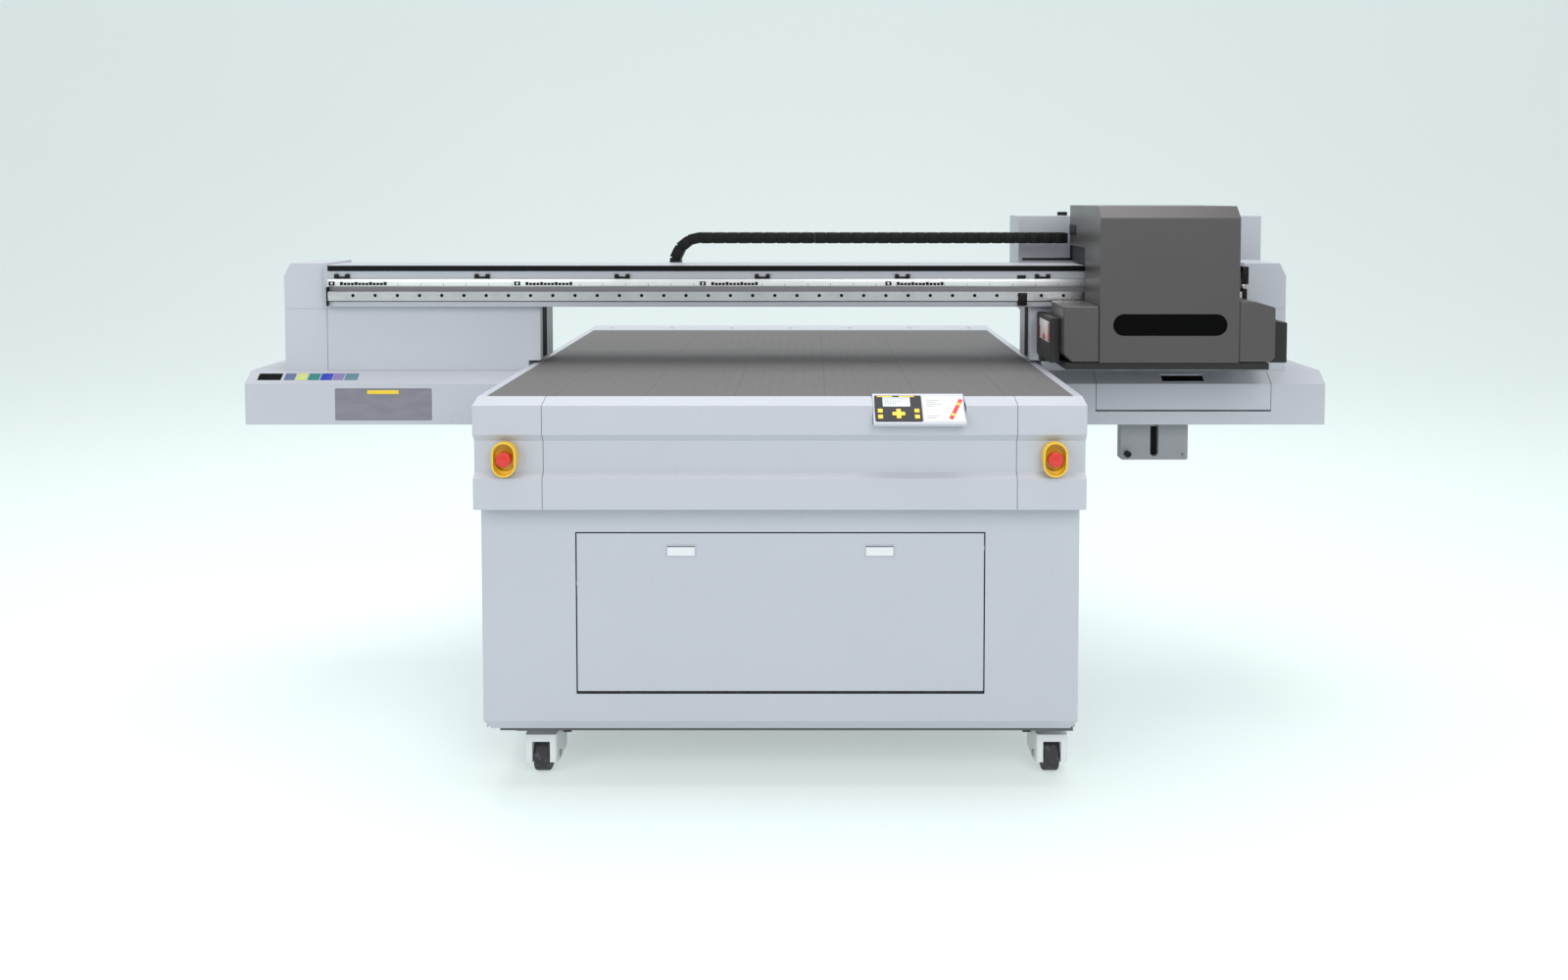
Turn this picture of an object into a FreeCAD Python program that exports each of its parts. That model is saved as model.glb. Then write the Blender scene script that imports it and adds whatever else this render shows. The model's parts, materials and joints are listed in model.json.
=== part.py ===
"""A flatbed UV printer: a cabinet with a fixed vacuum bed, and a gantry that rolls along it.

The gantry carries a beam, two side wings and a print carriage that runs along the beam.
Millimetres. +X is to the operator's right, +Y is away from the operator, +Z is up.
The origin is on the floor under the middle of the machine.
"""
import math
import os

import FreeCAD
import Part

V = FreeCAD.Vector
AXES = {"x": V(1, 0, 0), "y": V(0, 1, 0), "z": V(0, 0, 1)}

# ---------------------------------------------------------------- driving dimensions
F = -688.5                    # the bed's front edge: the whole machine is laid out from it along Y
BED_WIDTH = 1300.0
BED_DEPTH = 1300.0
BED_TOP = 900.0
BED_PLATE = 18.0
SHEET = 2.0                   # folded panel thickness
CABINET_HALF = 668.0          # half width of the lower cabinet
CABINET_BACK = F + 1455.0
CABINET_TOP = 656.0           # where the front console starts
SIDE_TOP = 738.0              # the side panels stop here; the gantry runs in the recess above
SKIRT_TOP = 163.0
SKIRT_BOTTOM = 136.0
SKIRT_INSET = 12.0
DECK_HALF = 671.0

CONSOLE_HALF = 671.5
CONSOLE_SEAM = 520.0
DOOR_HALF = 455.0
DOOR_BOTTOM = 232.0
DOOR_TOP = 590.0
DOOR_AXIS = (F + 8.0, 238.0)  # (y, z) of the door's hinge pins
LATCH_X = 222.0
LATCH_Z = 549.0

WING_INNER = 680.0
WING_END = 1422.0
WING_PROFILE = [(488, 741), (488, 849), (524, 879), (880, 879), (880, 741)]
HATCH_X = (820.0, 1279.0)
HATCH_AXIS = (F + 496.0, 788.0)

BEAM_HALF = 1216.5
BEAM_FRONT = F + 505.0
BEAM_BACK = F + 655.0
BEAM_BOTTOM = 1051.0
BEAM_TOP = 1160.0
HOUSING_OUTER = 1329.0
HOUSING_BACK = F + 700.0

CARRIAGE_X = 955.0            # middle of the print carriage in its parking place
COVER_HALF = 173.0
COVER_FRONT = F + 304.0
COVER_BOTTOM = 930.0
COVER_TOP = 1318.0

CHAIN_RADIUS = 72.0           # of the cable chain's centre line in its bend
CHAIN_HEIGHT = 30.0
CHAIN_TOP_Z = 1227.0          # centre line of the upper run
CHAIN_BEND_X = -236.0
CHAIN_END_X = 814.0
CHAIN_LOWER = 875.0           # length of the lower run
CHAIN_Y = (F + 663.0, F + 717.0)

CASTER_X = (-556.0, 626.0)
CASTER_Y = (F + 134.0, CABINET_BACK - 110.0)
WHEEL_R = 37.5
WHEEL_HALF = 18.5
TRAIL = -22.0                 # the wheels point to the front, as after the machine was pushed back

STOP_X = 600.0
STOP_Z = 770.0
PANEL_X = (204.0, 406.0)
PANEL_LOW = (F - 78.0, 852.0)  # (y, z) of the lower edge of the tilted control face
PANEL_HIGH = (F - 2.0, 905.0)


# ---------------------------------------------------------------- helpers
def box(x0, x1, y0, y1, z0, z1):
    """A box between two corners."""
    return Part.makeBox(x1 - x0, y1 - y0, z1 - z0, V(x0, y0, z0))


def rod(radius, start, end):
    """A solid cylinder from one point to another."""
    axis = end - start
    return Part.makeCylinder(radius, axis.Length, start, axis)


def prism(points, axis, low, high):
    """A polygon swept along an axis: 'x' takes (y, z) points, 'y' takes (x, z) and 'z' takes (x, y)."""
    if axis == "x":
        corners = [V(low, a, b) for a, b in points]
    elif axis == "y":
        corners = [V(a, low, b) for a, b in points]
    else:
        corners = [V(a, b, low) for a, b in points]
    face = Part.Face(Part.makePolygon(corners + corners[:1]))
    return face.extrude(AXES[axis] * (high - low))


def from_front(points):
    """Turns (y, z) points counted from the bed's front edge into machine coordinates."""
    return [(F + y, z) for y, z in points]


def stadium(half_length, radius, y0, y1, x, z, upright):
    """A bar with round ends swept along Y and centred on (x, z)."""
    dx, dz = (0, half_length) if upright else (half_length, 0)
    ends = [rod(radius, V(x + s * dx, y0, z + s * dz), V(x + s * dx, y1, z + s * dz)) for s in (-1, 1)]
    if upright:
        middle = box(x - radius, x + radius, y0, y1, z - half_length, z + half_length)
    else:
        middle = box(x - half_length, x + half_length, y0, y1, z - radius, z + radius)
    return middle.multiFuse(ends).removeSplitter()


def along(edge, axis):
    """True for a straight edge parallel to the named axis."""
    if len(edge.Vertexes) != 2:
        return False
    step = edge.Vertexes[1].Point - edge.Vertexes[0].Point
    return step.Length > 0 and abs(abs(step.dot(AXES[axis])) / step.Length - 1) < 1e-6


def soften(shape, radius, axis, choose=lambda middle: True):
    """Rounds the edges that run along an axis and whose middle point passes the test."""
    edges = [e for e in shape.Edges if along(e, axis) and choose(e.CenterOfMass)]
    return shape.makeFillet(radius, edges) if edges else shape


def mirror_x(shape):
    """The same shape on the machine's other side."""
    return shape.mirror(V(0, 0, 0), V(1, 0, 0))


def fuse(shapes):
    """One solid out of several that touch or overlap."""
    return shapes[0].multiFuse(shapes[1:]).removeSplitter()


def save(node, *shapes):
    """Writes one node. Several shapes stay separate solids in the same node."""
    shape = shapes[0] if len(shapes) == 1 else Part.makeCompound(list(shapes))
    shape.exportStep(os.path.join("parts", node + ".step"))


# ---------------------------------------------------------------- cabinet
FRAME_BOTTOM = 126.0
FRAME_OUT = 640.0             # outer face of the side beams, which carry the long rails
FRAME_FRONT = F + 35.0
FRAME_BACK = CABINET_BACK - 15.0
TUBE = 40.0


def base_frame():
    """The welded frame: four posts, a ring at the foot, two deep side beams, cross bars and a floor sheet."""
    bars = [box(-FRAME_OUT, FRAME_OUT, FRAME_FRONT, FRAME_BACK, FRAME_BOTTOM, FRAME_BOTTOM + SHEET)]
    for side in (-1, 1):
        x0, x1 = sorted((side * FRAME_OUT, side * (FRAME_OUT - TUBE)))
        for y in (FRAME_FRONT, FRAME_BACK - TUBE):
            bars.append(box(x0, x1, y, y + TUBE, FRAME_BOTTOM, 760))
        bars.append(box(x0, x1, FRAME_FRONT, FRAME_BACK, FRAME_BOTTOM, FRAME_BOTTOM + TUBE))
        bars.append(box(x0, x1, FRAME_FRONT, FRAME_BACK, 752, 852))
    for y in (FRAME_FRONT, FRAME_BACK - TUBE):
        for z in (FRAME_BOTTOM, 812):
            bars.append(box(-FRAME_OUT, FRAME_OUT, y, y + TUBE, z, z + TUBE))
    for y in (F + 430, F + 860):
        bars.append(box(-FRAME_OUT, FRAME_OUT, y, y + TUBE, 812, 852))
    for x in CASTER_X:
        for y in CASTER_Y:
            pad_x = min(x + 46, CABINET_HALF - SHEET - 1)
            bars.append(box(x - 46, pad_x, y - 102, y + 54, FRAME_BOTTOM, FRAME_BOTTOM + 8))
    save("base_frame", fuse(bars))


def cabinet_panels():
    """The sheet panels that close the lower cabinet."""
    low_y = F + SKIRT_INSET * 2
    face = [(F, SKIRT_TOP), (low_y, SKIRT_BOTTOM), (low_y + 3, SKIRT_BOTTOM), (F + SHEET, SKIRT_TOP + 1),
            (F + SHEET, CABINET_TOP), (F, CABINET_TOP)]
    front = prism(face, "x", -CABINET_HALF, CABINET_HALF)
    corner = prism([(CABINET_HALF - SKIRT_INSET, SKIRT_BOTTOM - 1), (CABINET_HALF + 1, SKIRT_BOTTOM - 1),
                    (CABINET_HALF + 1, SKIRT_TOP + 1), (CABINET_HALF, SKIRT_TOP)], "y", F - 5, F + 60)
    opening = box(-DOOR_HALF - 1.5, DOOR_HALF + 1.5, F - 5, F + 30, DOOR_AXIS[1] - 10, DOOR_TOP + 1.5)
    save("cabinet_front", front.cut(opening).cut(corner).cut(mirror_x(corner)))

    outer = box(-CABINET_HALF, CABINET_HALF, F + SHEET + 0.5, CABINET_BACK, SKIRT_BOTTOM, SIDE_TOP)
    inner = box(-CABINET_HALF + SHEET, CABINET_HALF - SHEET, F - 1, CABINET_BACK - SHEET, 0, SIDE_TOP + 1)
    shell = outer.cut(inner)
    skirt = prism([(CABINET_HALF - SHEET - 0.1, SKIRT_BOTTOM - 1), (CABINET_HALF + 1, SKIRT_BOTTOM - 1),
                   (CABINET_HALF + 1, SKIRT_BOTTOM + 3), (CABINET_HALF - SHEET - 0.1, SKIRT_BOTTOM)],
                  "y", F, CABINET_BACK + 1)
    shell = shell.cut(skirt).cut(mirror_x(skirt))
    shell = shell.cut(box(-CABINET_HALF - 1, CABINET_HALF + 1, F, low_y + 4, SKIRT_BOTTOM - 1, SKIRT_TOP + 2))
    for x in (-350.0, 350.0):
        for row in range(8):
            z = 420.0 + row * 18
            shell = shell.cut(box(x - 90, x + 90, CABINET_BACK - 5, CABINET_BACK + 5, z, z + 6))
    save("cabinet_shell", shell)
    rear = box(-DECK_HALF, DECK_HALF, CABINET_BACK - SHEET, CABINET_BACK, SIDE_TOP + 0.5, 880)
    deck = box(-DECK_HALF, DECK_HALF, F, CABINET_BACK, 880, BED_TOP - 1)
    well = box(-BED_WIDTH / 2 - 1, BED_WIDTH / 2 + 1, F - 1, F + BED_DEPTH + 1, 870, 910)
    save("deck_surround", deck.cut(well).fuse(rear).removeSplitter())


def console():
    """The front console: a long middle section and two end caps, all bent to one profile."""
    outer = from_front([(-0.5, 899), (-50, 886), (-50, 822), (-36, 806), (-36, 737), (-50, 725),
                        (-50, 656), (-0.5, 656)])
    inner = from_front([(5, 896.5), (-0.5, 896.5), (-48, 884), (-48, 823), (-34, 807), (-34, 736),
                        (-48, 724), (-48, 658), (5, 658)])
    middle = prism(outer, "x", -CONSOLE_SEAM + 0.4, CONSOLE_SEAM - 0.4)
    middle = middle.cut(prism(inner, "x", -CONSOLE_SEAM - 5, CONSOLE_SEAM + 5))
    notch = from_front([(1, 910), (-90, 910), (-90, 845), (-48, 845), (1, 871)])
    save("front_fascia", middle.cut(prism(notch, "x", PANEL_X[0] - 0.6, PANEL_X[1] + 0.6)))
    end = prism(outer, "x", CONSOLE_SEAM + 0.4, CONSOLE_HALF)
    end = end.cut(prism(inner, "x", CONSOLE_SEAM - 5, CONSOLE_HALF - SHEET))
    end = end.cut(rod(13, V(STOP_X, F - 60, STOP_Z), V(STOP_X, F, STOP_Z)))
    save("fascia_end_right", end)
    save("fascia_end_left", mirror_x(end))


def emergency_stops():
    """A yellow guard and a red push button at each end of the console."""
    guards = []
    for side, name in ((-1, "left"), (1, "right")):
        x = side * STOP_X
        guard = stadium(12.5, 26, F - 66, F - 50.2, x, STOP_Z, True)
        guard = guard.fuse(stadium(7, 26, F - 51, F - 36.1, x, STOP_Z + 1.5, True))
        guard = guard.cut(stadium(12.5, 22.5, F - 70, F - 53, x, STOP_Z, True))
        guard = guard.cut(stadium(7, 22.5, F - 54, F - 41, x, STOP_Z + 1.5, True))
        guard = guard.cut(rod(12.1, V(x, F - 50, STOP_Z), V(x, F - 30, STOP_Z)))
        guards.append(guard)
        button = rod(12.05, V(x, F - 56, STOP_Z), V(x, F - 30, STOP_Z))
        head = rod(16.5, V(x, F - 69, STOP_Z), V(x, F - 56, STOP_Z))
        head = head.makeFillet(3, [head.Edges[i] for i in range(len(head.Edges))
                                   if abs(head.Edges[i].CenterOfMass.y - (F - 69)) < 0.1])
        save("stop_button_" + name, button.fuse(head).removeSplitter())
    save("stop_guards", *guards)


def bed():
    """The bed plate, the vacuum chamber under it and the blower that draws through the chamber."""
    half = BED_WIDTH / 2
    save("bed_plate", box(-half, half, F, F + BED_DEPTH, BED_TOP - BED_PLATE, BED_TOP))
    chamber = box(-half + 30, half - 30, F + 30, F + BED_DEPTH - 30, 852, BED_TOP - BED_PLATE)
    pitch = (BED_WIDTH - 60) / 3
    for i in range(3):
        for j in range(3):
            x0 = -half + 30 + i * pitch + 8
            y0 = F + 30 + j * pitch + 8
            chamber = chamber.cut(box(x0, x0 + pitch - 16, y0, y0 + pitch - 16, 856, BED_TOP))
    save("vacuum_chamber", chamber.cut(rod(40, V(0, 0, 840), V(0, 0, 860))))
    foot = FRAME_BOTTOM + SHEET
    blower = fuse([rod(120, V(-60, 0, foot + 160), V(60, 0, foot + 160)),
                   box(-90, 90, -80, 80, foot, foot + 60),
                   rod(39, V(0, 0, foot + 160), V(0, 0, 856))])
    save("vacuum_blower", blower)


# ---------------------------------------------------------------- control panel
PANEL_ANGLE = math.degrees(math.atan2(PANEL_HIGH[1] - PANEL_LOW[1], PANEL_HIGH[0] - PANEL_LOW[0]))
PANEL_LENGTH = math.hypot(PANEL_HIGH[1] - PANEL_LOW[1], PANEL_HIGH[0] - PANEL_LOW[0])
KEYPAD_X = (208.0, 311.0)
DISPLAY = (226.0, 286.0, 50.0, 78.0)     # x0, x1, and how far up the slope it starts and ends
KEYS = {                                 # key: (x, how far up the slope, half width, half length)
    "stop": (219.5, 36.0, 5.5, 5.5),
    "start": (219.5, 18.0, 5.5, 5.5),
    "cross": (259.5, 27.0, 14.0, 14.0),
    "up": (299.5, 36.0, 5.5, 5.5),
    "down": (299.5, 18.0, 5.5, 5.5),
}


def on_slope(shape):
    """Moves a shape built flat (x, up the slope, outwards) onto the tilted control face."""
    turned = shape.copy()
    turned.rotate(V(0, 0, 0), AXES["x"], PANEL_ANGLE)
    turned.translate(V(0, PANEL_LOW[0], PANEL_LOW[1]))
    return turned


def control_panel():
    """The wedge housing, its black keypad, the display window and five push keys."""
    wedge = [PANEL_HIGH, PANEL_LOW, (PANEL_LOW[0], 846), (F - 49, 846), (F - 2, 871.5)]
    pit = on_slope(box(KEYPAD_X[0] + 4, KEYPAD_X[1] - 4, 10, 45, -3, 1))
    save("panel_housing", prism(wedge, "x", *PANEL_X).cut(pit))
    face = box(KEYPAD_X[0], KEYPAD_X[1], 6, 84, 0, 2)
    face = soften(face, 3, "z")
    for x, v, hx, hv in KEYS.values():
        face = face.cut(key_shape(x, v, hx + 0.3, hv + 0.3, -1, 3))
    x0, x1, v0, v1 = DISPLAY
    face = face.cut(box(x0 - 0.3, x1 + 0.3, v0 - 0.3, v1 + 0.3, 0.8, 3))
    save("keypad_face", on_slope(face))
    save("display_window", on_slope(box(x0, x1, v0, v1, 0.9, 2.4)))
    for name, (x, v, hx, hv) in KEYS.items():
        save("key_" + name, on_slope(key_shape(x, v, hx, hv, -1.0, 3.6)))


def key_shape(x, v, half_x, half_v, low, high):
    """A square key, or a cross when it is a large one."""
    if half_x < 8:
        return box(x - half_x, x + half_x, v - half_v, v + half_v, low, high)
    arm = half_x * 0.36
    return fuse([box(x - half_x, x + half_x, v - arm, v + arm, low, high),
                 box(x - arm, x + arm, v - half_v, v + half_v, low, high)])


# ---------------------------------------------------------------- front door
def hinge_stand(x, axis, foot_z, back):
    """A pin held from behind by two arms on an upright plate; axis is the pin's (y, z)."""
    y, z = axis
    return fuse([
        box(x - 34, x + 34, y + back, y + back + 4, foot_z, z + 4),
        box(x - 34, x - 29, y - 4, y + back, z - 4, z + 4),
        box(x + 29, x + 34, y - 4, y + back, z - 4, z + 4),
        rod(2.5, V(x - 34, y, z), V(x + 34, y, z)),
    ])


def knuckle(x, axis, face_y):
    """The tube that turns on a hinge pin, with a short leaf to the sheet at face_y."""
    y, z = axis
    solid = fuse([rod(4.5, V(x - 27, y, z), V(x + 27, y, z)), box(x - 27, x + 27, face_y, y, z - 3.5, z + 3.5)])
    return solid.cut(rod(2.55, V(x - 40, y, z), V(x + 40, y, z)))


def front_door():
    """The wide door in the cabinet's front, hinged along its bottom edge, with two paddle latches."""
    skin = box(-DOOR_HALF, DOOR_HALF, F, F + SHEET, DOOR_BOTTOM, DOOR_TOP)
    parts = [skin]
    for x in (-DOOR_HALF, DOOR_HALF - SHEET):
        parts.append(box(x, x + SHEET, F, F + 14, DOOR_AXIS[1] + 8, DOOR_TOP))
    parts.append(box(-DOOR_HALF, DOOR_HALF, F, F + 14, DOOR_TOP - SHEET, DOOR_TOP))
    for x in (-330, 330):
        parts.append(knuckle(x, DOOR_AXIS, F + SHEET))
    door = fuse(parts)
    for side, name in ((-1, "left"), (1, "right")):
        x = side * LATCH_X
        door = door.cut(box(x - 33, x + 33, F - 5, F + 10, LATCH_Z - 12, LATCH_Z + 14))
        tray = fuse([box(x - 34, x + 34, F - 1.2, F, LATCH_Z - 13, LATCH_Z + 15),
                     box(x - 33, x + 33, F, F + 12, LATCH_Z - 12, LATCH_Z + 14)])
        tray = tray.cut(box(x - 31.3, x + 31.3, F - 5, F + 10, LATCH_Z - 10.4, LATCH_Z + 12.6))
        pin_y, pin_z = F + 2.2, LATCH_Z + 7.5
        tray = tray.cut(rod(1.55, V(x - 33, pin_y, pin_z), V(x + 33, pin_y, pin_z)))
        door = door.fuse(tray)
        paddle = fuse([box(x - 30.8, x + 30.8, F - 1.2, F + 0.8, LATCH_Z - 9.8, LATCH_Z + 10.2),
                       box(x - 30.8, x + 30.8, F + 0.8, pin_y, pin_z - 2, pin_z + 2),
                       rod(1.5, V(x - 32.8, pin_y, pin_z), V(x + 32.8, pin_y, pin_z))])
        save("latch_" + name, paddle)
    save("front_door", door.removeSplitter())
    save("door_hinges", *[hinge_stand(x, DOOR_AXIS, FRAME_BOTTOM + TUBE, 28) for x in (-330, 330)])


# ---------------------------------------------------------------- casters
PEDAL_Y = 24.0
PEDAL_Z = 78.0
BODY_HALF = 36.0
BODY_TOP = 99.0


def caster(x, y, inner, name, braked):
    """One swivel caster in a deep cast housing. inner is +1 or -1, the side that faces the middle."""
    top = FRAME_BOTTOM
    hub = V(0, TRAIL, WHEEL_R)
    place = V(x, y, 0)
    body = box(-BODY_HALF, BODY_HALF, -62, 62, 22, BODY_TOP)
    body = soften(body, 6, "z")
    body = body.cut(box(-20.5, 20.5, -70, 24, 0, 82))
    body = body.cut(box(-29, 29, 30, 56, 0, 90))
    body = body.cut(prism([(-63, 21), (-20, 21), (-63, 34)], "x", -40, 40))
    fork = fuse([body, rod(27, V(0, 0, BODY_TOP - 1), V(0, 0, top - 9.3)),
                 rod(9.9, V(0, 0, BODY_TOP - 1), V(0, 0, top - 1))])
    fork = fork.cut(rod(5.05, hub - V(40, 0, 0), hub + V(40, 0, 0)))
    if braked:
        near = V(inner * 25, PEDAL_Y, PEDAL_Z)
        far = V(inner * 40, PEDAL_Y, PEDAL_Z)
        fork = fork.cut(rod(3.05, near, far))
        pin = rod(3.0, V(inner * 28, PEDAL_Y, PEDAL_Z), V(inner * 38, PEDAL_Y, PEDAL_Z))
        boss = rod(11, V(inner * 36.4, PEDAL_Y, PEDAL_Z), V(inner * 54, PEDAL_Y, PEDAL_Z))
        x0, x1 = sorted((inner * 36.4, inner * 54))
        lever = box(x0, x1, PEDAL_Y, PEDAL_Y + 32, PEDAL_Z + 3, PEDAL_Z + 10)
        save("brake_" + name, fuse([pin, boss, lever]).translated(place))
    fork.translate(place)
    save("fork_" + name, fork)
    tread = rod(WHEEL_R, hub - V(WHEEL_HALF, 0, 0), hub + V(WHEEL_HALF, 0, 0))
    tread = tread.makeFillet(5, [e for e in tread.Edges if not along(e, "x")])
    wheel = fuse([tread, rod(12, hub - V(20.2, 0, 0), hub + V(20.2, 0, 0)),
                  rod(5, hub - V(35.5, 0, 0), hub + V(35.5, 0, 0))])
    save("wheel_" + name, wheel.translated(place))


def casters():
    """Four casters: the two in front have a brake pedal on their inner side."""
    top = FRAME_BOTTOM
    plates = []
    for i, end_x in enumerate(("left", "right")):
        for j, end_y in enumerate(("front", "back")):
            x, y = CASTER_X[i], CASTER_Y[j]
            caster(x, y, 1 if i == 0 else -1, end_y + "_" + end_x, j == 0)
            plate = box(x - 38, x + 38, y - 48, y + 48, top - 9, top)
            plates.append(plate.cut(rod(10, V(x, y, 0), V(x, y, top + 1))))
    save("caster_plates", *plates)


# ---------------------------------------------------------------- gantry
def rails_and_blocks():
    """Two long rails on the frame's side beams, and the four blocks on which the gantry rolls."""
    rails = []
    blocks = []
    for side in (-1, 1):
        x0, x1 = sorted((side * FRAME_OUT, side * (FRAME_OUT + 15)))
        rails.append(box(x0, x1, F + 45, F + 1440, 783, 803))
        for y in (F + 530, F + 690):
            x0, x1 = sorted((side * (FRAME_OUT + 2), side * WING_INNER))
            block = box(x0, x1, y, y + 80, 766, 820)
            x0, x1 = sorted((side * FRAME_OUT, side * (FRAME_OUT + 15.4)))
            blocks.append(block.cut(box(x0, x1, y - 1, y + 81, 782.6, 803.4)))
    save("y_rails", *rails)
    save("runner_blocks", *blocks)


def wings():
    """The two side wings: the left one holds the ink behind a window, the right one has a hatch."""
    outer = prism(from_front(WING_PROFILE), "x", WING_INNER, WING_END)
    hollow = from_front([(490.5, 743.5), (490.5, 848), (525, 876.5), (877.5, 876.5), (877.5, 743.5)])
    wing = outer.cut(prism(hollow, "x", WING_INNER + 2.5, WING_END - 2.5))
    window = soften(box(-1185, -930, F + 480, F + 500, 752, 837), 4, "y")
    left = mirror_x(wing).cut(window)
    save("wing_left", left)
    save("ink_window", soften(box(-1184.6, -930.4, F + 488.5, F + 490.5, 752.4, 836.6), 3.6, "y"))
    tanks = [box(-1176 + i * 40.5, -1176 + i * 40.5 + 36, F + 520, F + 840, 744, 822) for i in range(6)]
    save("ink_tanks", *tanks)

    gap = 1.5
    opening = box(HATCH_X[0] - gap, HATCH_X[1] + gap, F + 480, F + 524, HATCH_AXIS[1] - 12, 890)
    stands = [hinge_stand(x, HATCH_AXIS, 743.5, 24) for x in (900, 1200)]
    save("wing_right", fuse([wing.cut(opening)] + stands))
    skin = prism(from_front([(488, 780), (488, 849), (523, 878.1), (523, 875), (490, 847.8), (490, 780)]),
                 "x", *HATCH_X)
    for x in HATCH_X:
        x0, x1 = sorted((x, x + (2 if x == HATCH_X[0] else -2)))
        cheek = prism(from_front([(488, 800), (488, 849), (520, 875.6), (520, 852), (500, 800)]), "x", x0, x1)
        skin = skin.fuse(cheek)
    cup = prism(from_front([(492, 852.4), (516, 872.3), (516, 856), (497, 842)]), "x", 993, 1108)
    pull = prism(from_front([(494, 858), (514, 874.6), (514, 859), (499, 846.5)]), "x", 995, 1106)
    hatch = skin.fuse(cup).cut(pull)
    for x in (900, 1200):
        hatch = hatch.fuse(knuckle(x, HATCH_AXIS, F + 489))
    save("wing_hatch", hatch.removeSplitter())

    service = box(899, 1079, F + 540, F + 575, 636, 740.9)
    service = soften(service, 5, "y")
    service = service.cut(stadium(34, 10.5, F + 535, F + 552, 989, 690, True))
    knob = rod(8, V(915, F + 522, 654), V(915, F + 541, 654))
    pin = rod(3, V(1066, F + 530, 650), V(1066, F + 541, 650))
    save("service_box", fuse([service, knob, pin]))


def beam():
    """The cross beam with its rail, the legs that stand on the wings, and the two end housings."""
    profile = from_front([(505, 1051), (505, 1160), (655, 1160), (655, 1051)])
    hollow = from_front([(511, 1057), (511, 1154), (649, 1154), (649, 1057)])
    extrusion = prism(profile, "x", -BEAM_HALF, BEAM_HALF)
    extrusion = extrusion.cut(prism(hollow, "x", -BEAM_HALF - 1, BEAM_HALF + 1))
    groove = box(-BEAM_HALF - 1, BEAM_HALF + 1, F + 500, F + 508, 1094.5, 1101)
    save("beam", extrusion.cut(groove))
    rail = box(-1200, 1200, F + 490, F + 505, 1068, 1092)
    for i in range(40):
        x = -1134 + 58.3 * i
        rail = rail.cut(rod(4.5, V(x, F + 480, 1082), V(x, F + 498, 1082)))
    save("x_rail", rail)

    leg = prism([(650, 906), (682, 906), (682, 879), (BEAM_HALF, 879), (BEAM_HALF, 1050.9), (650, 1050.9)],
                "y", F + 524, F + 676)
    inside = prism([(653, 909), (685, 909), (685, 882), (BEAM_HALF - 3, 882), (BEAM_HALF - 3, 1048), (653, 1048)],
                   "y", F + 527, F + 673)
    leg = leg.cut(inside)
    save("beam_legs", mirror_x(leg), leg)

    low, high = BEAM_HALF + 0.5, HOUSING_OUTER
    case = prism([(low, 879.1), (high, 879.1), (high, 1131), (high - 17, 1165), (low, 1165)],
                 "y", F + 524, HOUSING_BACK)
    case = case.cut(prism([(low + 3, 870), (high - 3, 870), (high - 3, 1130), (high - 19, 1162), (low + 3, 1162)],
                          "y", F + 527, HOUSING_BACK - 3))
    seam = box(low - 1, high + 1, F + 520, F + 525.2, 1043, 1045)
    case = case.cut(seam)
    save("end_housing_right", case)
    save("end_housing_left", mirror_x(case))

    y0, y1 = CHAIN_Y
    lower_z = CHAIN_TOP_Z - 2 * CHAIN_RADIUS
    tray = box(-1205, 700, BEAM_BACK + 0.1, y1 + 5, lower_z - 20, lower_z + 18)
    tray = tray.cut(box(-1206, 701, BEAM_BACK + 3, y1 + 3, lower_z - 17.5, lower_z + 30))
    save("chain_tray", tray)


# ---------------------------------------------------------------- cable chain
LINK = 35.0


def chain_bar(x0, x1, z):
    """A straight run of the cable chain with a groove between neighbouring links."""
    y0, y1 = CHAIN_Y
    half = CHAIN_HEIGHT / 2
    bar = box(x0, x1, y0, y1, z - half, z + half)
    count = int((x1 - x0) / LINK)
    cuts = []
    for i in range(1, count + 1):
        x = x0 + i * LINK
        if x < x1 - 2:
            cuts.append(box(x - 1.5, x + 1.5, y0 - 1, y0 + 3, z - half - 1, z + half + 1))
            cuts.append(box(x - 1.5, x + 1.5, y1 - 3, y1 + 1, z - half - 1, z + half + 1))
    return bar.cut(Part.makeCompound(cuts))


def cable_chain():
    """The chain that feeds the carriage: an upper run, and the bend with the run that lies in the tray."""
    y0, y1 = CHAIN_Y
    half = CHAIN_HEIGHT / 2
    middle = CHAIN_TOP_Z - CHAIN_RADIUS
    bend = rod(CHAIN_RADIUS + half, V(CHAIN_BEND_X, y0, middle), V(CHAIN_BEND_X, y1, middle))
    bend = bend.cut(rod(CHAIN_RADIUS - half, V(CHAIN_BEND_X, y0 - 1, middle), V(CHAIN_BEND_X, y1 + 1, middle)))
    bend = bend.cut(box(CHAIN_BEND_X, CHAIN_BEND_X + 200, y0 - 1, y1 + 1, middle - 150, middle + 150))
    lower = chain_bar(CHAIN_BEND_X, CHAIN_BEND_X + CHAIN_LOWER, CHAIN_TOP_Z - 2 * CHAIN_RADIUS)
    save("chain_loop", fuse([bend, lower]))
    save("chain_upper", chain_bar(CHAIN_BEND_X, CHAIN_END_X, CHAIN_TOP_Z))


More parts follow.
